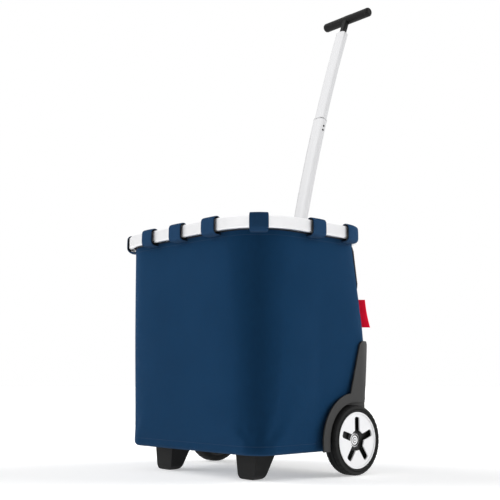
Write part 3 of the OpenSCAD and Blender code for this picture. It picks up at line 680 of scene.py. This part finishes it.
def well_object(side, grow):
    """The space of one wheel and its arch: round above, open below and behind."""
    centre_y, centre_z = (tyre_low.y + tyre_high.y) / 2, (tyre_low.z + tyre_high.z) / 2
    radius = (tyre_high.z - tyre_low.z) / 2 + 8.6 * MM + grow
    outline = [(centre_y + radius * math.cos(math.radians(a)), centre_z + radius * math.sin(math.radians(a)))
               for a in range(90, 181, 5)]
    outline += [(centre_y - radius, -0.1), (centre_y + 0.3, -0.1), (centre_y + 0.3, centre_z + radius)]
    inner, outer = arch_low.x - 0.5 * MM - grow, rim_high.x + 0.05
    count = len(outline)
    points = [(side * x, y, z) for x in (inner, outer) for y, z in outline]
    faces = ring_quads(2, count) + ring_ends(2, count)
    if side < 0:
        faces = [f[::-1] for f in faces]
    return mesh_object("well", points, faces)


def cut(obj, tool):
    """Takes tool's space out of obj."""
    modifier(obj, "BOOLEAN", operation="DIFFERENCE", solver="EXACT", object=tool, material_mode="TRANSFER")
    apply_modifiers(obj)
    bpy.data.objects.remove(tool)
    return obj


def chassis_tools(grow):
    beam = box_object("beam", (-arch_low.x - 1 * MM, beam_low.y - 0.5 * MM - grow, -0.1),
                      (arch_low.x + 1 * MM, beam_low.y + 0.4, SHELF_TOP + grow))
    return [well_object(-1, grow), well_object(1, grow), beam]


def head_space(back, top):
    """The room that the tube's head takes up in the cloth behind it."""
    return box_object("head_space", (head_low.x - 1 * MM, BACK_HALF, head_low.z - 4 * MM),
                      (head_high.x + 1 * MM, back, top))


def tube_slit(foot, back, top):
    """The slit in the cloth where the outer tube comes out through it."""
    return box_object("tube_slit", (tube_low.x - 1.5 * MM, BACK_HALF, foot), (tube_high.x + 1.5 * MM, back, top))


def capped(obj, top):
    """Closes the bag's open top with a flat cap, so that it is a solid for cutting."""
    mesh = obj.data
    points = [tuple(v.co) for v in mesh.vertices]
    layer = mesh.uv_layers["cloth"]
    faces = [list(p.vertices) for p in mesh.polygons]
    uv = [[tuple(layer.data[k].uv) for k in p.loop_indices] for p in mesh.polygons]
    first = list(range(COLUMNS))
    if top is not None:
        start = len(points)
        points += [(points[i][0], points[i][1], top) for i in first]
        for k in range(COLUMNS):
            k2 = (k + 1) % COLUMNS
            faces.append([start + k2, start + k, first[k], first[k2]])
            uv.append([(0, 0)] * 4)
        first = [start + k for k in range(COLUMNS)]
    faces.append(first)
    uv.append([(0, 0)] * COLUMNS)
    return mesh_object("solid", points, faces, uv)


def inset_copy(obj, depth):
    """A copy of the bag's cloth, moved inward by the fabric's thickness."""
    copy = link(obj.copy())
    copy.data = obj.data.copy()
    normals = np.zeros(len(copy.data.vertices) * 3)
    copy.data.vertices.foreach_get("normal", normals)
    set_coordinates(copy, coordinates(copy) - normals.reshape(-1, 3) * depth)
    return copy


def make_bag(cloth):
    """Turns the settled cloth into a bag with thickness, a lining, and room for the wheels, beam and handle."""
    lining = inset_copy(cloth, FABRIC_T)
    cavity = capped(lining, BAG_TOP + 30 * MM)
    bpy.data.objects.remove(lining)
    cavity.data.materials.append(lining_cloth)
    for tool in chassis_tools(FABRIC_T):
        tool.data.materials.append(lining_cloth)
        cut(cavity, tool)
    bag = capped(cloth, None)
    bag.name = bag.data.name = "bag_shell"
    bag.data.materials.append(finish_of["bag_fabric"])
    cut(bag, cavity)
    for tool in chassis_tools(0.0):
        tool.data.materials.append(lining_cloth)
        cut(bag, tool)
    notch = head_space(rim_mid.y + 200 * MM, BAG_TOP + 50 * MM)
    slit = tube_slit(SLIT_FOOT, tube_high.y + 1.5 * MM, head_low.z)
    way = box_object("socket_way", (socket_low.x - 1 * MM, SOCKET_MID_Y - SOCKET_WAY_HALF, SHELF_TOP - 5 * MM),
                     (socket_high.x + 1 * MM, SOCKET_MID_Y + SOCKET_WAY_HALF, SHELF_TOP + 5 * MM))
    for tool, material in ((notch, finish_of["bag_fabric"]), (slit, finish_of["bag_fabric"]), (way, lining_cloth)):
        tool.data.materials.append(material)
        cut(bag, tool)
    return bag


def shade_by_angle(obj, degrees=35):
    """Keeps the edges sharper than that angle crisp."""
    obj.data.set_sharp_from_angle(angle=math.radians(degrees))
    return obj


cloth = bag_cloth()
cloth_rings = coordinates(cloth)[: len(LEVELS) * COLUMNS].reshape(len(LEVELS), COLUMNS, 3)
cloth_tree = BVHTree.FromPolygons([v.co.copy() for v in cloth.data.vertices],
                                  [list(p.vertices) for p in cloth.data.polygons])
bag = shade_by_angle(make_bag(cloth))
bpy.data.objects.remove(cloth)
belong(bag, node="bag")


def wall_hit(point, outward):
    """Where a line through point, coming in from outside, meets the bag's cloth: (place, normal)."""
    start = Vector(point) + Vector(outward) * RAY_START
    place, normal, _, _ = cloth_tree.ray_cast(start, -Vector(outward), RAY_LENGTH)
    if normal.dot(Vector(outward)) < 0:
        normal = -normal
    return place, normal


# ---- Loops ----

LOOP_T = 2.4 * MM
LOOP_SLACK = 2.1 * MM
LOOP_STEP = 1.6 * MM


def rim_point(loop, along, out, z):
    """A point beside the rim: its distance along the rim from the loop's middle, and out from the tube's middle."""
    (x, y), heading, kind, _ = loop
    t = math.radians(heading)
    if kind != "corner":
        return Vector((x - math.sin(t) * along + math.cos(t) * out,
                       rim_mid.y + y + math.cos(t) * along + math.sin(t) * out, z))
    cx, cy = x - RIM_CORNER * math.cos(t), y - RIM_CORNER * math.sin(t)
    turn = t + along / RIM_CORNER
    radius = RIM_CORNER + out
    return Vector((cx + radius * math.cos(turn), rim_mid.y + cy + radius * math.sin(turn), z))


def outward(loop):
    t = math.radians(loop[1])
    return Vector((math.cos(t), math.sin(t), 0))


def wall_out(loop, z):
    """How far out from the rim's middle the bag's wall is at a height; it is negative."""
    here = rim_point(loop, 0, 0, z)
    place, _ = wall_hit(here, outward(loop))
    return (place - here).dot(outward(loop))


def smooth_path(points, rounds=3):
    """Chaikin's corner cutting on a line of (out, z) points."""
    line = np.array(points, float)
    for _ in range(rounds):
        a, b = line[:-1], line[1:]
        cut_line = np.stack([a * 0.75 + b * 0.25, a * 0.25 + b * 0.75], 1).reshape(-1, 2)
        line = np.vstack([line[:1], cut_line, line[-1:]])
    return line


def evenly(line, step):
    """The same line with a point at every step."""
    length = np.concatenate([[0], np.cumsum(np.linalg.norm(np.diff(line, axis=0), axis=1))])
    count = max(2, int(round(length[-1] / step)) + 1)
    at = np.linspace(0, length[-1], count)
    return np.stack([np.interp(at, length, line[:, k]) for k in range(line.shape[1])], 1)


def loop_line(loop):
    """The middle line of a loop's cloth round the rim, as (out, z), from the bag's outside over to its inside."""
    low, high = rim_low.z, rim_high.z
    half, edge = RIM_T / 2, RIM_EDGE
    lay = edge + 0.1 * MM + LOOP_T / 2
    loose = lay + LOOP_SLACK
    wall_low = wall_out(loop, low - 5 * MM)
    inside = wall_out(loop, BAG_TOP - 1 * MM) - FABRIC_T - 2.4 * MM - LOOP_T / 2

    def arc(cx, cz, start, end, radius_start, radius_end):
        steps = 7
        made = []
        for k in range(steps + 1):
            turn = math.radians(start + (end - start) * k / steps)
            r = radius_start + (radius_end - radius_start) * k / steps
            made.append((cx + r * math.cos(turn), cz + r * math.sin(turn)))
        return made

    points = [(wall_low - 1.4 * MM, low - 4.7 * MM), (wall_low + 2.0 * MM, low - 5.1 * MM)]
    points += arc(half - edge, low + edge, -95, 0, loose + 0.9 * MM, loose + 0.3 * MM)
    points += [(half - edge + loose + 0.4 * MM, rim_mid.z)]
    points += arc(half - edge, high - edge, 0, 90, loose + 0.1 * MM, loose)
    points += arc(edge - half, high - edge, 90, 140, loose, lay + 0.6 * MM)
    points += [(inside + 3.2 * MM, BAG_TOP + 2.6 * MM), (inside + 0.6 * MM, BAG_TOP + 1.0 * MM),
               (inside, BAG_TOP - 3 * MM), (inside, BAG_TOP - 26 * MM)]
    return evenly(smooth_path(points, 2), LOOP_STEP)


def strap(loop, line, near, far, half_w, crown=0.0):
    """Cloth of a loop between two depths from its middle line, half_w either side of the loop's middle."""
    run = np.gradient(line, axis=0)
    run /= np.linalg.norm(run, axis=1)[:, None]
    side = np.stack([-run[:, 1], run[:, 0]], 1)
    thick = far - near
    section = [(a, b + (near + far) / 2) for a, b in round_section(2 * half_w, thick, thick * 0.42, 3)]
    cross = np.linspace(-0.82, 0.82, 7) * half_w
    upper = [(a, far) for a in cross[::-1]]
    lower = [(a, near) for a in cross]
    quarter = len(section) // 4
    outline = section[:quarter] + upper + section[quarter:3 * quarter] + lower + section[3 * quarter:]
    points = []
    for (out, z), (side_out, side_z) in zip(line, side):
        for a, b in outline:
            lift = b - crown * (a / half_w) ** 2
            points.append(rim_point(loop, a, out - side_out * lift, z - side_z * lift))
    faces = ring_quads(len(line), len(outline)) + ring_ends(len(line), len(outline))
    uv = run_uv(outline, len(line), LOOP_STEP)
    uv += [[(a, 0) for a, _ in outline[::-1]], [(a, 0) for a, _ in outline]]
    return mesh_object("strap", points, faces, uv)


def thread_row(points, normals, pitch=4.2 * MM, length=3.0 * MM, radius=0.34 * MM):
    """Stitches along a line on a surface, as (points, faces) of small half-sunk threads."""
    line = np.hstack([np.array(points, float), np.array(normals, float)])
    place = line[:, :3]
    far = np.concatenate([[0], np.cumsum(np.linalg.norm(np.diff(place, axis=0), axis=1))])
    made_points, made_faces = [], []
    sides, rings = 6, (-1.0, -0.72, 0.0, 0.72, 1.0)
    girth = (0.25, 0.8, 1.0, 0.8, 0.25)
    for number in range(int(far[-1] / pitch)):
        middle = (number + 0.5) * pitch
        ends = [np.array([np.interp(middle + d * length / 2, far, line[:, k]) for k in range(6)]) for d in (-1, 1)]
        centre = (ends[0] + ends[1]) / 2
        along = ends[1][:3] - ends[0][:3]
        along /= max(np.linalg.norm(along), 1e-9)
        up = centre[3:] / max(np.linalg.norm(centre[3:]), 1e-9)
        across = np.cross(along, up)
        start = len(made_points)
        for at, width in zip(rings, girth):
            base = centre[:3] + along * at * length / 2 + up * radius * (0.35 - 0.75 * at * at)
            for k in range(sides):
                turn = 2 * math.pi * k / sides
                made_points.append(base + (across * math.cos(turn) + up * math.sin(turn)) * radius * width)
        made_faces += ring_quads(len(rings), sides, start=start) + ring_ends(len(rings), sides, start)
    return made_points, made_faces


def stitches(name, rows, material):
    """One mesh of all the stitches along some rows, each a list of (place, normal)."""
    points, faces = [], []
    for row in rows:
        more_points, more_faces = thread_row([p for p, _ in row], [n for _, n in row])
        faces += [[i + len(points) for i in face] for face in more_faces]
        points += more_points
    obj = mesh_object(name, points, faces)
    obj.data.materials.append(material)
    return obj


def box_stitch(loop, line):
    """The square of stitches that holds a loop's inner end to the hem."""
    half_w = loop[3] / 2 - 4 * MM
    low, high = BAG_TOP - 23 * MM, BAG_TOP - 9 * MM
    face_out = line[-1][0] - LOOP_T / 2
    normal = -outward(loop)
    corners = [(-half_w, low), (half_w, low), (half_w, high), (-half_w, high), (-half_w, low)]
    return [[(rim_point(loop, a0 + (a1 - a0) * k / 8, face_out, z0 + (z1 - z0) * k / 8), normal) for k in range(9)]
            for (a0, z0), (a1, z1) in zip(corners, corners[1:])]


def make_loops():
    """Every loop as a face cloth with a black tape behind it, and its stitches, in one mesh for each kind."""
    for kind in ("front", "side", "corner", "rear"):
        cloth_parts, rows = [], []
        for loop in (place for place in LOOPS if place[2] == kind):
            line = loop_line(loop)
            face = strap(loop, line, -0.25 * MM, LOOP_T / 2, loop[3] / 2 - 0.1 * MM, 0.25 * MM)
            face.data.materials.append(finish_of["loop_fabric"])
            back = strap(loop, line, -LOOP_T / 2, -0.28 * MM, loop[3] / 2 - 0.2 * MM)
            back.data.materials.append(binding_tape)
            cloth_parts += [face, back]
            rows += box_stitch(loop, line)
        belong(join(kind + "_loop_straps", cloth_parts), node=kind + "_loops")
        belong(stitches(kind + "_loop_stitches", rows, navy_thread))


make_loops()

# ---- Hem, binding, seams, yoke and tag ----


def ring_path(height, out, skip=None):
    """Points round the bag's wall at a height, moved out from the cloth, with the outward direction of each."""
    index = int(np.argmin([abs(z - height) for z, inset in LEVELS[:WALL_STEPS]]))
    lower, upper = cloth_rings[index + 1], cloth_rings[index]
    share = np.clip((height - lower[:, 2]) / np.maximum(upper[:, 2] - lower[:, 2], 1e-6), -1, 2)[:, None]
    ring = lower + (upper - lower) * share
    ahead, behind = np.roll(ring, -1, 0), np.roll(ring, 1, 0)
    run = ahead - behind
    normal = np.stack([run[:, 1], -run[:, 0], np.zeros(len(run))], 1)
    normal *= -1 if (normal * (ring - ring.mean(0))).sum() < 0 else 1
    normal /= np.linalg.norm(normal, axis=1)[:, None]
    path = [(Vector(p + n * out), Vector(n)) for p, n in zip(ring, normal)]
    if skip is None:
        return path
    return [(p, n) for p, n in path if not (abs(p.x) < skip and p.y > rim_mid.y)]


def band(name, height, section, skip=None):
    """Sweeps a section of (out, up) points round the bag's wall at a height."""
    path = [(place, normal, Vector((0, 0, 1))) for place, normal in ring_path(height, 0.0, skip)]
    return sweep(name, path, section, closed=skip is None)


def make_hem():
    """The folded hem over the bag's top edge, and the black tape sewn round it under the rim, which is also painted
    shade for the dark gap under the rim.
    """
    t, proud = FABRIC_T, 0.7 * MM
    inner, drop = -t - 2.4 * MM, -14 * MM
    cap = [(proud, -5 * MM), (proud, 0.5 * MM), (proud - 0.5 * MM, 1.1 * MM), (inner + 0.5 * MM, 1.1 * MM),
           (inner, 0.5 * MM), (inner, drop), (inner + 1.6 * MM, drop), (inner + 2 * MM, drop + 0.5 * MM),
           (-t - 0.1 * MM, 0.15 * MM), (0.1 * MM, 0.15 * MM), (0.1 * MM, -5 * MM)]
    hem = band("bag_top_hem", BAG_TOP, cap, skip=head_high.x + 2 * MM)
    hem.data.materials.append(finish_of["bag_fabric"])
    shade_by_angle(hem, 40)
    belong(hem, node="bag_hem")
    # The black tape is a binding and also painted shade: it stands in for the shadow under the rim.
    tape_low, tape_high = -0.8 * MM, 7 * MM
    edge = 0.4 * MM
    tape_section = [(1.2 * MM, tape_low + edge), (1.2 * MM, tape_high - edge), (0.8 * MM, tape_high),
                    (0.05 * MM, tape_high), (0.05 * MM, tape_low), (0.8 * MM, tape_low)]
    tape = band("bag_top_binding_and_painted_shade", rim_low.z, tape_section, skip=head_high.x + 2 * MM)
    tape.data.materials.append(binding_tape)
    belong(tape)


def make_seams():
    """Rows of stitches round the bag: one under the rim, one above its foot."""
    rows = []
    for height in (rim_low.z - 9 * MM, BAG_FLOOR + FOOT_ROUND + 7 * MM):
        path = ring_path(height, 0.0)
        free = [not (p.y > arch_low.y - 4 * MM and p.z < arch_high.z) for p, _ in path]
        run = []
        for (place, normal), shown in zip(path + path[:1], free + free[:1]):
            if shown and not (abs(place.x) < head_high.x + 4 * MM and place.y > rim_mid.y and place.z > 300 * MM):
                run.append((place, normal))
            elif run:
                rows.append(run)
                run = []
        rows.append(run)
    belong(stitches("bag_seam_stitches", [r for r in rows if len(r) > 1], navy_thread))


YOKE_LOW, YOKE_HIGH, YOKE_T = 334 * MM, 415 * MM, 2.0 * MM
YOKE_EDGE_T = 0.7 * MM
YOKE_SLIT_FOOT = 361 * MM
YOKE_FRONT = rim_mid.y + 114 * MM


def make_yoke():
    """The black panel sewn over the top of the bag's back, with its edges rolled in."""
    levels = [i for i in range(WALL_STEPS) if YOKE_LOW <= LEVELS[i][0] <= YOKE_HIGH]
    middle_row = cloth_rings[levels[len(levels) // 2]]
    reach = next(k for k in range(COLUMNS) if middle_row[k][1] < YOKE_FRONT)
    columns = [k % COLUMNS for k in range(COLUMNS - reach, COLUMNS + reach + 1)]
    grid = np.array([[cloth_rings[i][k] for k in columns] for i in levels])
    along = np.gradient(grid, axis=1)
    down = np.gradient(grid, axis=0)
    normals = np.cross(along, down)
    normals /= np.linalg.norm(normals, axis=2)[:, :, None]
    if normals[0, len(columns) // 2][1] < 0:
        normals = -normals
    rows, cols = len(levels), len(columns)
    from_edge = np.minimum.outer(np.minimum(np.arange(rows), rows - 1 - np.arange(rows)),
                                 np.minimum(np.arange(cols), cols - 1 - np.arange(cols)))
    rise = YOKE_EDGE_T + (YOKE_T - YOKE_EDGE_T) * np.clip(from_edge, 0, 1)
    outer = grid + normals * rise[:, :, None]
    inner = grid + normals * 0.15 * MM
    points = np.concatenate([outer.reshape(-1, 3), inner.reshape(-1, 3)])
    faces, uv = [], []
    half = rows * cols

    def where(i, k, layer):
        return layer * half + i * cols + k

    def map_at(i, k):
        return (k * 6.5 * MM, -i * 7 * MM)

    for i in range(rows - 1):
        for k in range(cols - 1):
            ring = [(i, k), (i + 1, k), (i + 1, k + 1), (i, k + 1)]
            for layer, order in ((0, ring), (1, ring[::-1])):
                faces.append([where(a, b, layer) for a, b in order])
                uv.append([map_at(a, b) for a, b in order])
    border = [(0, k) for k in range(cols)] + [(i, cols - 1) for i in range(1, rows)]
    border += [(rows - 1, k) for k in range(cols - 2, -1, -1)] + [(i, 0) for i in range(rows - 2, 0, -1)]
    for (a, b), (c, d) in zip(border, border[1:] + border[:1]):
        faces.append([where(a, b, 0), where(c, d, 0), where(c, d, 1), where(a, b, 1)])
        uv.append([map_at(a, b), map_at(c, d), map_at(c, d), map_at(a, b)])
    yoke = mesh_object("back_yoke_panel", points, faces, uv)
    yoke.data.materials.append(finish_of["black_fabric"])
    turned = np.cross(outer[0, 1] - outer[0, 0], outer[1, 0] - outer[0, 0])
    if turned.dot(normals[0, 0]) > 0:
        yoke.data.flip_normals()
    past_back, past_top = rim_mid.y + 250 * MM, YOKE_HIGH + 100 * MM
    cut(yoke, tube_slit(YOKE_SLIT_FOOT, past_back, past_top))
    cut(yoke, head_space(past_back, past_top))
    shade_by_angle(yoke, 40)
    belong(yoke, node="back_yoke")
    inset = 1
    rows_sewn = []
    for i in (inset, rows - 1 - inset):
        line = [(Vector(outer[i, k]), Vector(normals[i, k])) for k in range(inset, cols - inset)]
        if i == inset:
            gap = head_high.x + 3 * MM
            rows_sewn += [[q for q in line if q[0].x < -gap], [q for q in line if q[0].x > gap]]
        else:
            rows_sewn.append(line)
    for k in (inset, cols - 1 - inset):
        rows_sewn.append([(Vector(outer[i, k]), Vector(normals[i, k])) for i in range(inset, rows - inset)])
    belong(stitches("back_yoke_stitches", [r for r in rows_sewn if len(r) > 1], black_thread))
    width = float(np.linalg.norm(np.diff(outer[rows // 2], axis=0), axis=1).sum())
    height = float(np.linalg.norm(np.diff(outer[:, cols // 4], axis=0), axis=1).sum())
    return yoke, width, height


def make_tag():
    """The small folded ribbon sewn into the back corner's seam."""
    low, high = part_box("side_tag")
    turn = math.radians(50)
    out_way = Vector((math.cos(turn), math.sin(turn), 0))
    flat_way = Vector((-math.sin(turn), math.cos(turn), 0))
    reach, root = 17.5 * MM, -1.6 * MM
    middle = [(root, 0.45), (reach * 0.3, 0.5), (reach * 0.6, 0.75), (reach * 0.86, 0.95)]
    middle = [(a, b * MM) for a, b in middle]
    fold = 0.95 * MM
    middle += [(reach - fold + fold * math.cos(math.radians(t)), fold * math.sin(math.radians(t)))
               for t in (62, 40, 20, 0)]
    middle += [(a, -b) for a, b in middle[-2::-1]]
    run = np.gradient(np.array(middle), axis=0)
    run /= np.linalg.norm(run, axis=1)[:, None]
    side = np.stack([-run[:, 1], run[:, 0]], 1) * 0.28 * MM
    outline = [tuple(m - d) for m, d in zip(middle, side)] + [tuple(m + d) for m, d in zip(middle, side)][::-1]
    steps = 18
    corner = (BAG_ROWS[1][1] - BAG_ROWS[1][5], rim_mid.y + BAG_ROWS[1][3] - BAG_ROWS[1][5])
    points = []
    count = len(outline)
    for k in range(steps + 1):
        z = low.z + (high.z - low.z) * k / steps
        start, _ = wall_hit((corner[0], corner[1], z), out_way)
        sway = 0.8 * MM * math.sin(math.pi * k / steps * 1.5)
        points += [start + out_way * a + flat_way * (b + sway * (max(a, 0) / reach) ** 2) for a, b in outline]
    faces = ring_quads(steps + 1, count)
    uv = run_uv(outline, steps + 1, (high.z - low.z) / steps)
    half = count // 2
    for level, order in ((0, -1), (steps * count, 1)):
        for k in range(half - 1):
            face = [k, k + 1, count - 2 - k, count - 1 - k][::order]
            faces.append([level + j for j in face])
            uv.append([outline[j] for j in face])
    tag = mesh_object("side_tag_ribbon", points, faces, uv)
    tag.data.materials.append(finish_of["tag_fabric"])
    shade_by_angle(tag, 50)
    belong(tag, node="side_tag")


make_hem()
make_seams()
yoke, yoke_width, yoke_height = make_yoke()
make_tag()

# ---- Floor board ----


def make_floor_board():
    """The padded board in the bag's bottom: a crowned, fabric-covered pad notched round the wheel wells."""
    low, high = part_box("floor_board")
    half_x, half_y, radius = (high.x - low.x) / 2, (high.y - low.y) / 2, 41 * MM
    middle = (low + high) / 2
    insets = [0, 0.6, 2.2, 6, 14, 28, 46, 66, 84]
    lifts = [0.5, 0.82, 0.97, 1.0, 1.05, 1.1, 1.15, 1.18, 1.2]
    rings = []
    for inset, lift in zip(insets, lifts):
        inset *= MM
        r = max(radius - inset, 4 * MM)
        ring = []
        for quarter, (sx, sy) in enumerate(((1, 1), (-1, 1), (-1, -1), (1, -1))):
            for k in range(9):
                turn = math.radians(90 * (quarter + k / 8))
                ring.append((middle.x + sx * (half_x - inset - r) + r * math.cos(turn),
                             middle.y + sy * (half_y - inset - r) + r * math.sin(turn), lift))
        rings.append(ring)
    count = len(rings[0])
    thick = high.z - low.z
    points = [(x, y, low.z + max(0.0, 0.5 - share) * thick) for ring in rings[::-1] for x, y, share in ring]
    points += [(x, y, low.z + thick * share) for ring in rings for x, y, share in ring]
    faces = ring_quads(2 * len(rings), count) + ring_ends(2 * len(rings), count)
    board = mesh_object("floor_board_pad", points, faces, [[(0, 0)] * len(f) for f in faces])
    board.data.materials.append(finish_of["board_fabric"])
    for tool in chassis_tools(FABRIC_T + 1 * MM):
        cut(board, tool)
    shade_by_angle(board, 45)
    belong(board, node="floor_board")


make_floor_board()

# ---- Tyres ----


def make_tyre(side, name, node):
    """A moulded tyre: a full inner shoulder, two tread grooves, cuts across the shoulders and a bead by the disc. Its
    outer sidewall takes a lighter copy of the rubber, which is painted light.
    """
    low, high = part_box(node)
    centre = (low + high) / 2
    radius, half_w = (high.z - low.z) / 2, (high.x - low.x) / 2
    seat = radius - 11 * MM
    shoulder, inner_shoulder = 6 * MM, 10.2 * MM
    grooves, groove_half, groove_deep = (-2.4 * MM, 5.6 * MM), 1.1 * MM, 1.3 * MM
    profile = [(seat, -half_w + 0.6 * MM), (seat + 0.5 * MM, -half_w)]
    turns = [math.radians(90 * k / 6) for k in range(7)]
    profile += [(radius - inner_shoulder * (1 - math.sin(t)), -half_w + inner_shoulder * (1 - math.cos(t)))
                for t in turns]
    for place in grooves:
        profile += [(radius, place - groove_half), (radius - groove_deep, place - groove_half * 0.6),
                    (radius - groove_deep, place + groove_half * 0.6), (radius, place + groove_half)]
        if place == grooves[0]:
            profile += [(radius, 0.6 * MM), (radius, 2.6 * MM)]
    profile += [(radius - shoulder + shoulder * math.sin(t), half_w - shoulder * (1 - math.cos(t)))
                for t in turns[::-1]]
    profile += [(radius - shoulder - 1.6 * MM, half_w), (seat + 4.4 * MM, half_w),
                (seat + 3.9 * MM, half_w - 0.5 * MM), (seat + 3.2 * MM, half_w - 0.5 * MM),
                (seat + 2.7 * MM, half_w), (seat + 1.0 * MM, half_w), (seat, half_w - 1 * MM)]
    steps = 180
    points = []
    count = len(profile)
    for i in range(steps):
        turn = 2 * math.pi * i / steps
        cut_here = 0.8 * MM if i % 5 == 0 else 0.0
        for r, x in profile:
            on_shoulder = radius - 3.5 * MM < r < radius - 0.05 * MM and abs(x) > half_w * 0.55
            edge = abs(abs(x) - half_w * 0.62) < half_w * 0.16 and r > radius - 1 * MM
            deep = cut_here if on_shoulder or edge else 0.0
            points.append((centre.x + side * x, centre.y + (r - deep) * math.cos(turn),
                           centre.z + (r - deep) * math.sin(turn)))
    faces = [face if side < 0 else face[::-1] for face in ring_quads(steps, count, closed=True)]
    tyre = mesh_object(name, points, faces)
    for finish in (finish_of["tyre"], painted_lit_tyre_side):
        tyre.data.materials.append(finish)
    # The faces of the outer sidewall, which get the lighter rubber as painted light.
    painted_lit_faces = [x > half_w - 2.6 * MM and r > seat for r, x in profile]
    for face in tyre.data.polygons:
        k = face.index % count
        face.material_index = int(painted_lit_faces[k] and painted_lit_faces[(k + 1) % count])
    shade_by_angle(tyre, 32)
    belong(tyre, "wheel_right" if side > 0 else "wheel_left", node)


make_tyre(1, "tyre_right_rubber", "tyre_right")
make_tyre(-1, "tyre_left_rubber", "tyre_left")

# ---- Camera, lights and stage ----


LENS, SENSOR = 62.353, 36
CAMERA_PLACE = (1.2234, rim_mid.y - 1.1157, 0.1724)
CAMERA_RISE, CAMERA_HEADING = 8.367, 47.04


def make_camera():
    data = bpy.data.cameras.new("camera")
    data.lens = LENS
    data.sensor_width = SENSOR
    camera = link(bpy.data.objects.new("camera", data))
    camera.location = CAMERA_PLACE
    camera.rotation_euler = (math.radians(90 + CAMERA_RISE), 0, math.radians(CAMERA_HEADING))
    bpy.context.scene.camera = camera


def sun(name, heading, height, power, softness, mirrored=True):
    """A soft light from far away: its heading and height in degrees, how wide it is across the sky, and
    whether shiny surfaces show it."""
    data = bpy.data.lights.new(name, "SUN")
    data.energy = power
    data.angle = math.radians(softness)
    light = link(bpy.data.objects.new(name, data))
    h, e = math.radians(heading), math.radians(height)
    light.rotation_euler = Vector((math.cos(h) * math.cos(e), math.sin(h) * math.cos(e),
                                   math.sin(e))).to_track_quat("Z", "Y").to_euler()
    light.visible_glossy = mirrored


def make_world(shown, reflected, ambient):
    """White surroundings: their brightness as seen directly, in reflections, and as soft light on matt surfaces."""
    world = bpy.data.worlds.new("studio")
    bpy.context.scene.world = world
    world.use_nodes = True
    tree = world.node_tree
    background = tree.nodes["Background"]
    background.inputs["Color"].default_value = (1, 1, 1, 1)
    path = tree.nodes.new("ShaderNodeLightPath")

    def pick(switch, other, value):
        mix = tree.nodes.new("ShaderNodeMix")
        tree.links.new(path.outputs[switch], mix.inputs[0])
        if isinstance(other, bpy.types.NodeSocket):
            tree.links.new(other, mix.inputs[2])
        else:
            mix.inputs[2].default_value = other
        mix.inputs[3].default_value = value
        return mix.outputs[0]

    strength = pick("Is Glossy Ray", ambient, reflected)
    strength = pick("Is Camera Ray", strength, shown)
    tree.links.new(strength, background.inputs["Strength"])


def make_stage():
    """A plain pale floor."""
    size = 12.0
    floor = mesh_object("floor", [(-size, -size, 0), (size, -size, 0), (size, size, 0), (-size, size, 0)],
                        [(0, 1, 2, 3)])
    paint = Material("floor_paint", Roughness=0.9, Specular_IOR_Level=0.1, Emission_Strength=0.40)
    paint.colour((0.88, 0.88, 0.88, 1))
    paint.shader.inputs["Emission Color"].default_value = (1, 1, 1, 1)
    floor.data.materials.append(paint.data)


make_camera()
sun("key_left", -146, 19, 3.5, 45, mirrored=False)
sun("key_right", 56, 19, 3.3, 45, mirrored=False)
sun("top", -90, 80, 0.5, 110)
make_world(shown=1.0, reflected=1.0, ambient=0.08)
make_stage()
bpy.context.scene.view_settings.view_transform = "Standard"
